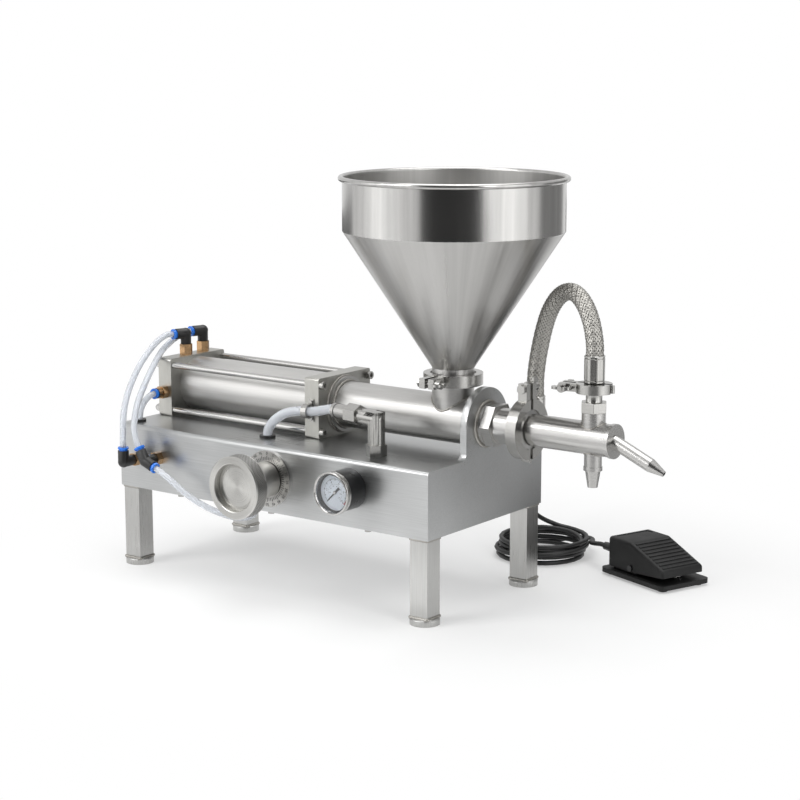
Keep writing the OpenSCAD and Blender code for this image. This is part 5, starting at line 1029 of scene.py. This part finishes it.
weld_bead("weld_flange", ring(34.4, 29.6), 1.8, 2.2)
weld_bead("weld_flange_rim", ring(29.3, 35.3), 1.5, 2.2)
weld_bead("weld_end_plate", ring(235.6, 29.4), 1.4, 2.2)
weld_bead("weld_outlet_boss", ring(245.6, 27.2), 2.0, 2.4)
weld_bead("weld_stub", saddle(hopper_x, 25.6, 28.9, "up"), 1.1)
weld_bead("weld_upper_port", saddle(nozzle_x, 14.1, 19.1, "up"), 0.8)
weld_bead("weld_lower_port", saddle(nozzle_x, 10.4, 19.1, "down"), 0.7)
weld_bead("weld_side_elbow", saddle(side_port_x, 9.1, 21.6, "back"), 0.8)
weld_bead("weld_nozzle_disc", ring(417.3, 18.9), 1.0)

# %% [markdown]
# ## Foot switch
#
# The treadle is one ABS moulding: a wedge with a flat heel, a long ribbed slope for the sole of a shoe, and
# skirts down its sides. It starts as a box whose corners are moved to the side view of the real one, and is
# then opened below, rounded, and given a wall. The ribs are one rib, rounded and copied.

# %% Treadle shell
def box_piece(name, low, high):
    """A box between two corners, in millimetres, ready to be shaped."""
    bpy.ops.object.select_all(action="DESELECT")
    size = [b - a for a, b in zip(low, high)]
    bpy.ops.mesh.primitive_cube_add(size=1, location=mm(*[(a + b) / 2 for a, b in zip(low, high)]),
                                    scale=[s / 1000 for s in size])
    made = bpy.context.object
    made.name = name
    bpy.ops.object.transform_apply(location=True, rotation=True, scale=True)
    return made


def apply_all(piece):
    """Apply a piece's modifiers, first to last."""
    bpy.ops.object.select_all(action="DESELECT")
    piece.select_set(True)
    bpy.context.view_layer.objects.active = piece
    for modifier in list(piece.modifiers):
        bpy.ops.object.modifier_apply(modifier=modifier.name)


heel_x, break_x, toe_x, heel_top, toe_top, toe_foot = -52, -10, 54, 50, 25.5, 17
treadle_half, rib_half, field_half = 33.5, 28.5, 25.5
fall = (heel_top - toe_top) / (toe_x - break_x)  # in each millimetre of the slope
treadle = box_piece("treadle", (heel_x, -treadle_half, 12), (toe_x, treadle_half, heel_top))
bpy.ops.object.mode_set(mode="EDIT")
for x in (break_x, break_x + 2):
    bpy.ops.mesh.select_all(action="SELECT")
    bpy.ops.mesh.bisect(plane_co=mm(x, 0, 0), plane_no=(1, 0, 0))
bpy.ops.object.mode_set(mode="OBJECT")
for vertex in treadle.data.vertices:
    x, is_top = vertex.co.x * 1000, vertex.co.z * 1000 > 30
    if x > toe_x - 4:
        vertex.co.z = (toe_top if is_top else toe_foot) / 1000
    elif abs(x - break_x - 2) < 0.5 and is_top:
        vertex.co.z = (heel_top - 2 * fall) / 1000
bpy.ops.object.mode_set(mode="EDIT")
bpy.ops.mesh.select_all(action="DESELECT")
bpy.ops.object.mode_set(mode="OBJECT")
for face in treadle.data.polygons:
    face.select = face.normal.z < -0.7
bpy.ops.object.mode_set(mode="EDIT")
bpy.ops.mesh.select_mode(type="FACE")
bpy.ops.mesh.delete(type="FACE")
bpy.ops.object.mode_set(mode="OBJECT")
add_bevel(treadle, "moulded_edge", 4.2, 5, 40)
wall = treadle.modifiers.new("wall", "SOLIDIFY")
wall.thickness, wall.offset = 0.0024, -1
apply_all(treadle)
print("treadle shell:", len(treadle.data.polygons), "faces")

# %% Ribs and the field at the heel
slope, slope_length = math.atan(fall), math.hypot(toe_x - break_x, heel_top - toe_top)
ribs = []
for i in range(9):
    rib = box_piece("rib", (-1.3, -rib_half, -0.6), (1.3, rib_half, 1.1))
    add_bevel(rib, "rib_edge", 0.7, 2)
    apply_all(rib)
    far = slope_length * (i + 1) / 10
    rib_at = mm(break_x + far * math.cos(slope), 0, heel_top - far * math.sin(slope))
    rib.data.transform(Matrix.Translation(rib_at) @ Matrix.Rotation(slope, 4, "Y"))
    ribs.append(rib)
for x0, x1, y0 in ((-45, -43.2, -field_half), (-43.2, -34, field_half - 1.8)):
    ridge = box_piece("field_edge", (x0, y0, heel_top - 0.8), (x1, field_half, heel_top + 0.7))
    add_bevel(ridge, "ridge_edge", 0.5, 2)
    apply_all(ridge)
    ribs.append(ridge)
treadle = joined("treadle", treadle, ribs)
treadle.data.transform(Matrix.Translation(mm(pedal_x, pedal_y, 0))
                       @ Matrix.Rotation(math.radians(pedal_turn), 4, "Z"))
bpy.ops.object.shade_smooth_by_angle(angle=math.radians(30))
treadle.data.materials.clear()
dress(treadle, "treadle", pedal_abs, "black_nylon", "pedal_treadle")
print("treadle:", len(treadle.data.polygons), "faces")

# %% [markdown]
# ## Forged elbow
#
# The elbow that takes the supply tube is a forging: its arms are square with rounded corners, where the
# solid is round. Two boxes are united by a boolean modifier, rounded, and turned the way that the arm
# points.

# %% Elbow body
arm_half, arm_drop, arm_reach = 8.3, 33, 27
elbow = box_piece("elbow_body", (-arm_half, -arm_half, -arm_drop), (arm_half, arm_half, arm_half))
level_arm = box_piece("elbow_arm", (-arm_half, -arm_half, -arm_half), (arm_reach, arm_half, arm_half))
union = elbow.modifiers.new("one_forging", "BOOLEAN")
union.operation, union.object, union.solver = "UNION", level_arm, "EXACT"
apply_all(elbow)
bpy.data.objects.remove(level_arm)
add_bevel(elbow, "forged_edge", 3.2, 4, 40)
apply_all(elbow)
elbow.data.transform(Matrix.Translation(elbow_at) @ Matrix.Rotation(math.radians(elbow_turn), 4, "Z"))
bpy.ops.object.shade_smooth_by_angle(angle=math.radians(30))
dress(elbow, "machine", bright_steel, "polished_steel")
print("elbow:", len(elbow.data.polygons), "faces")
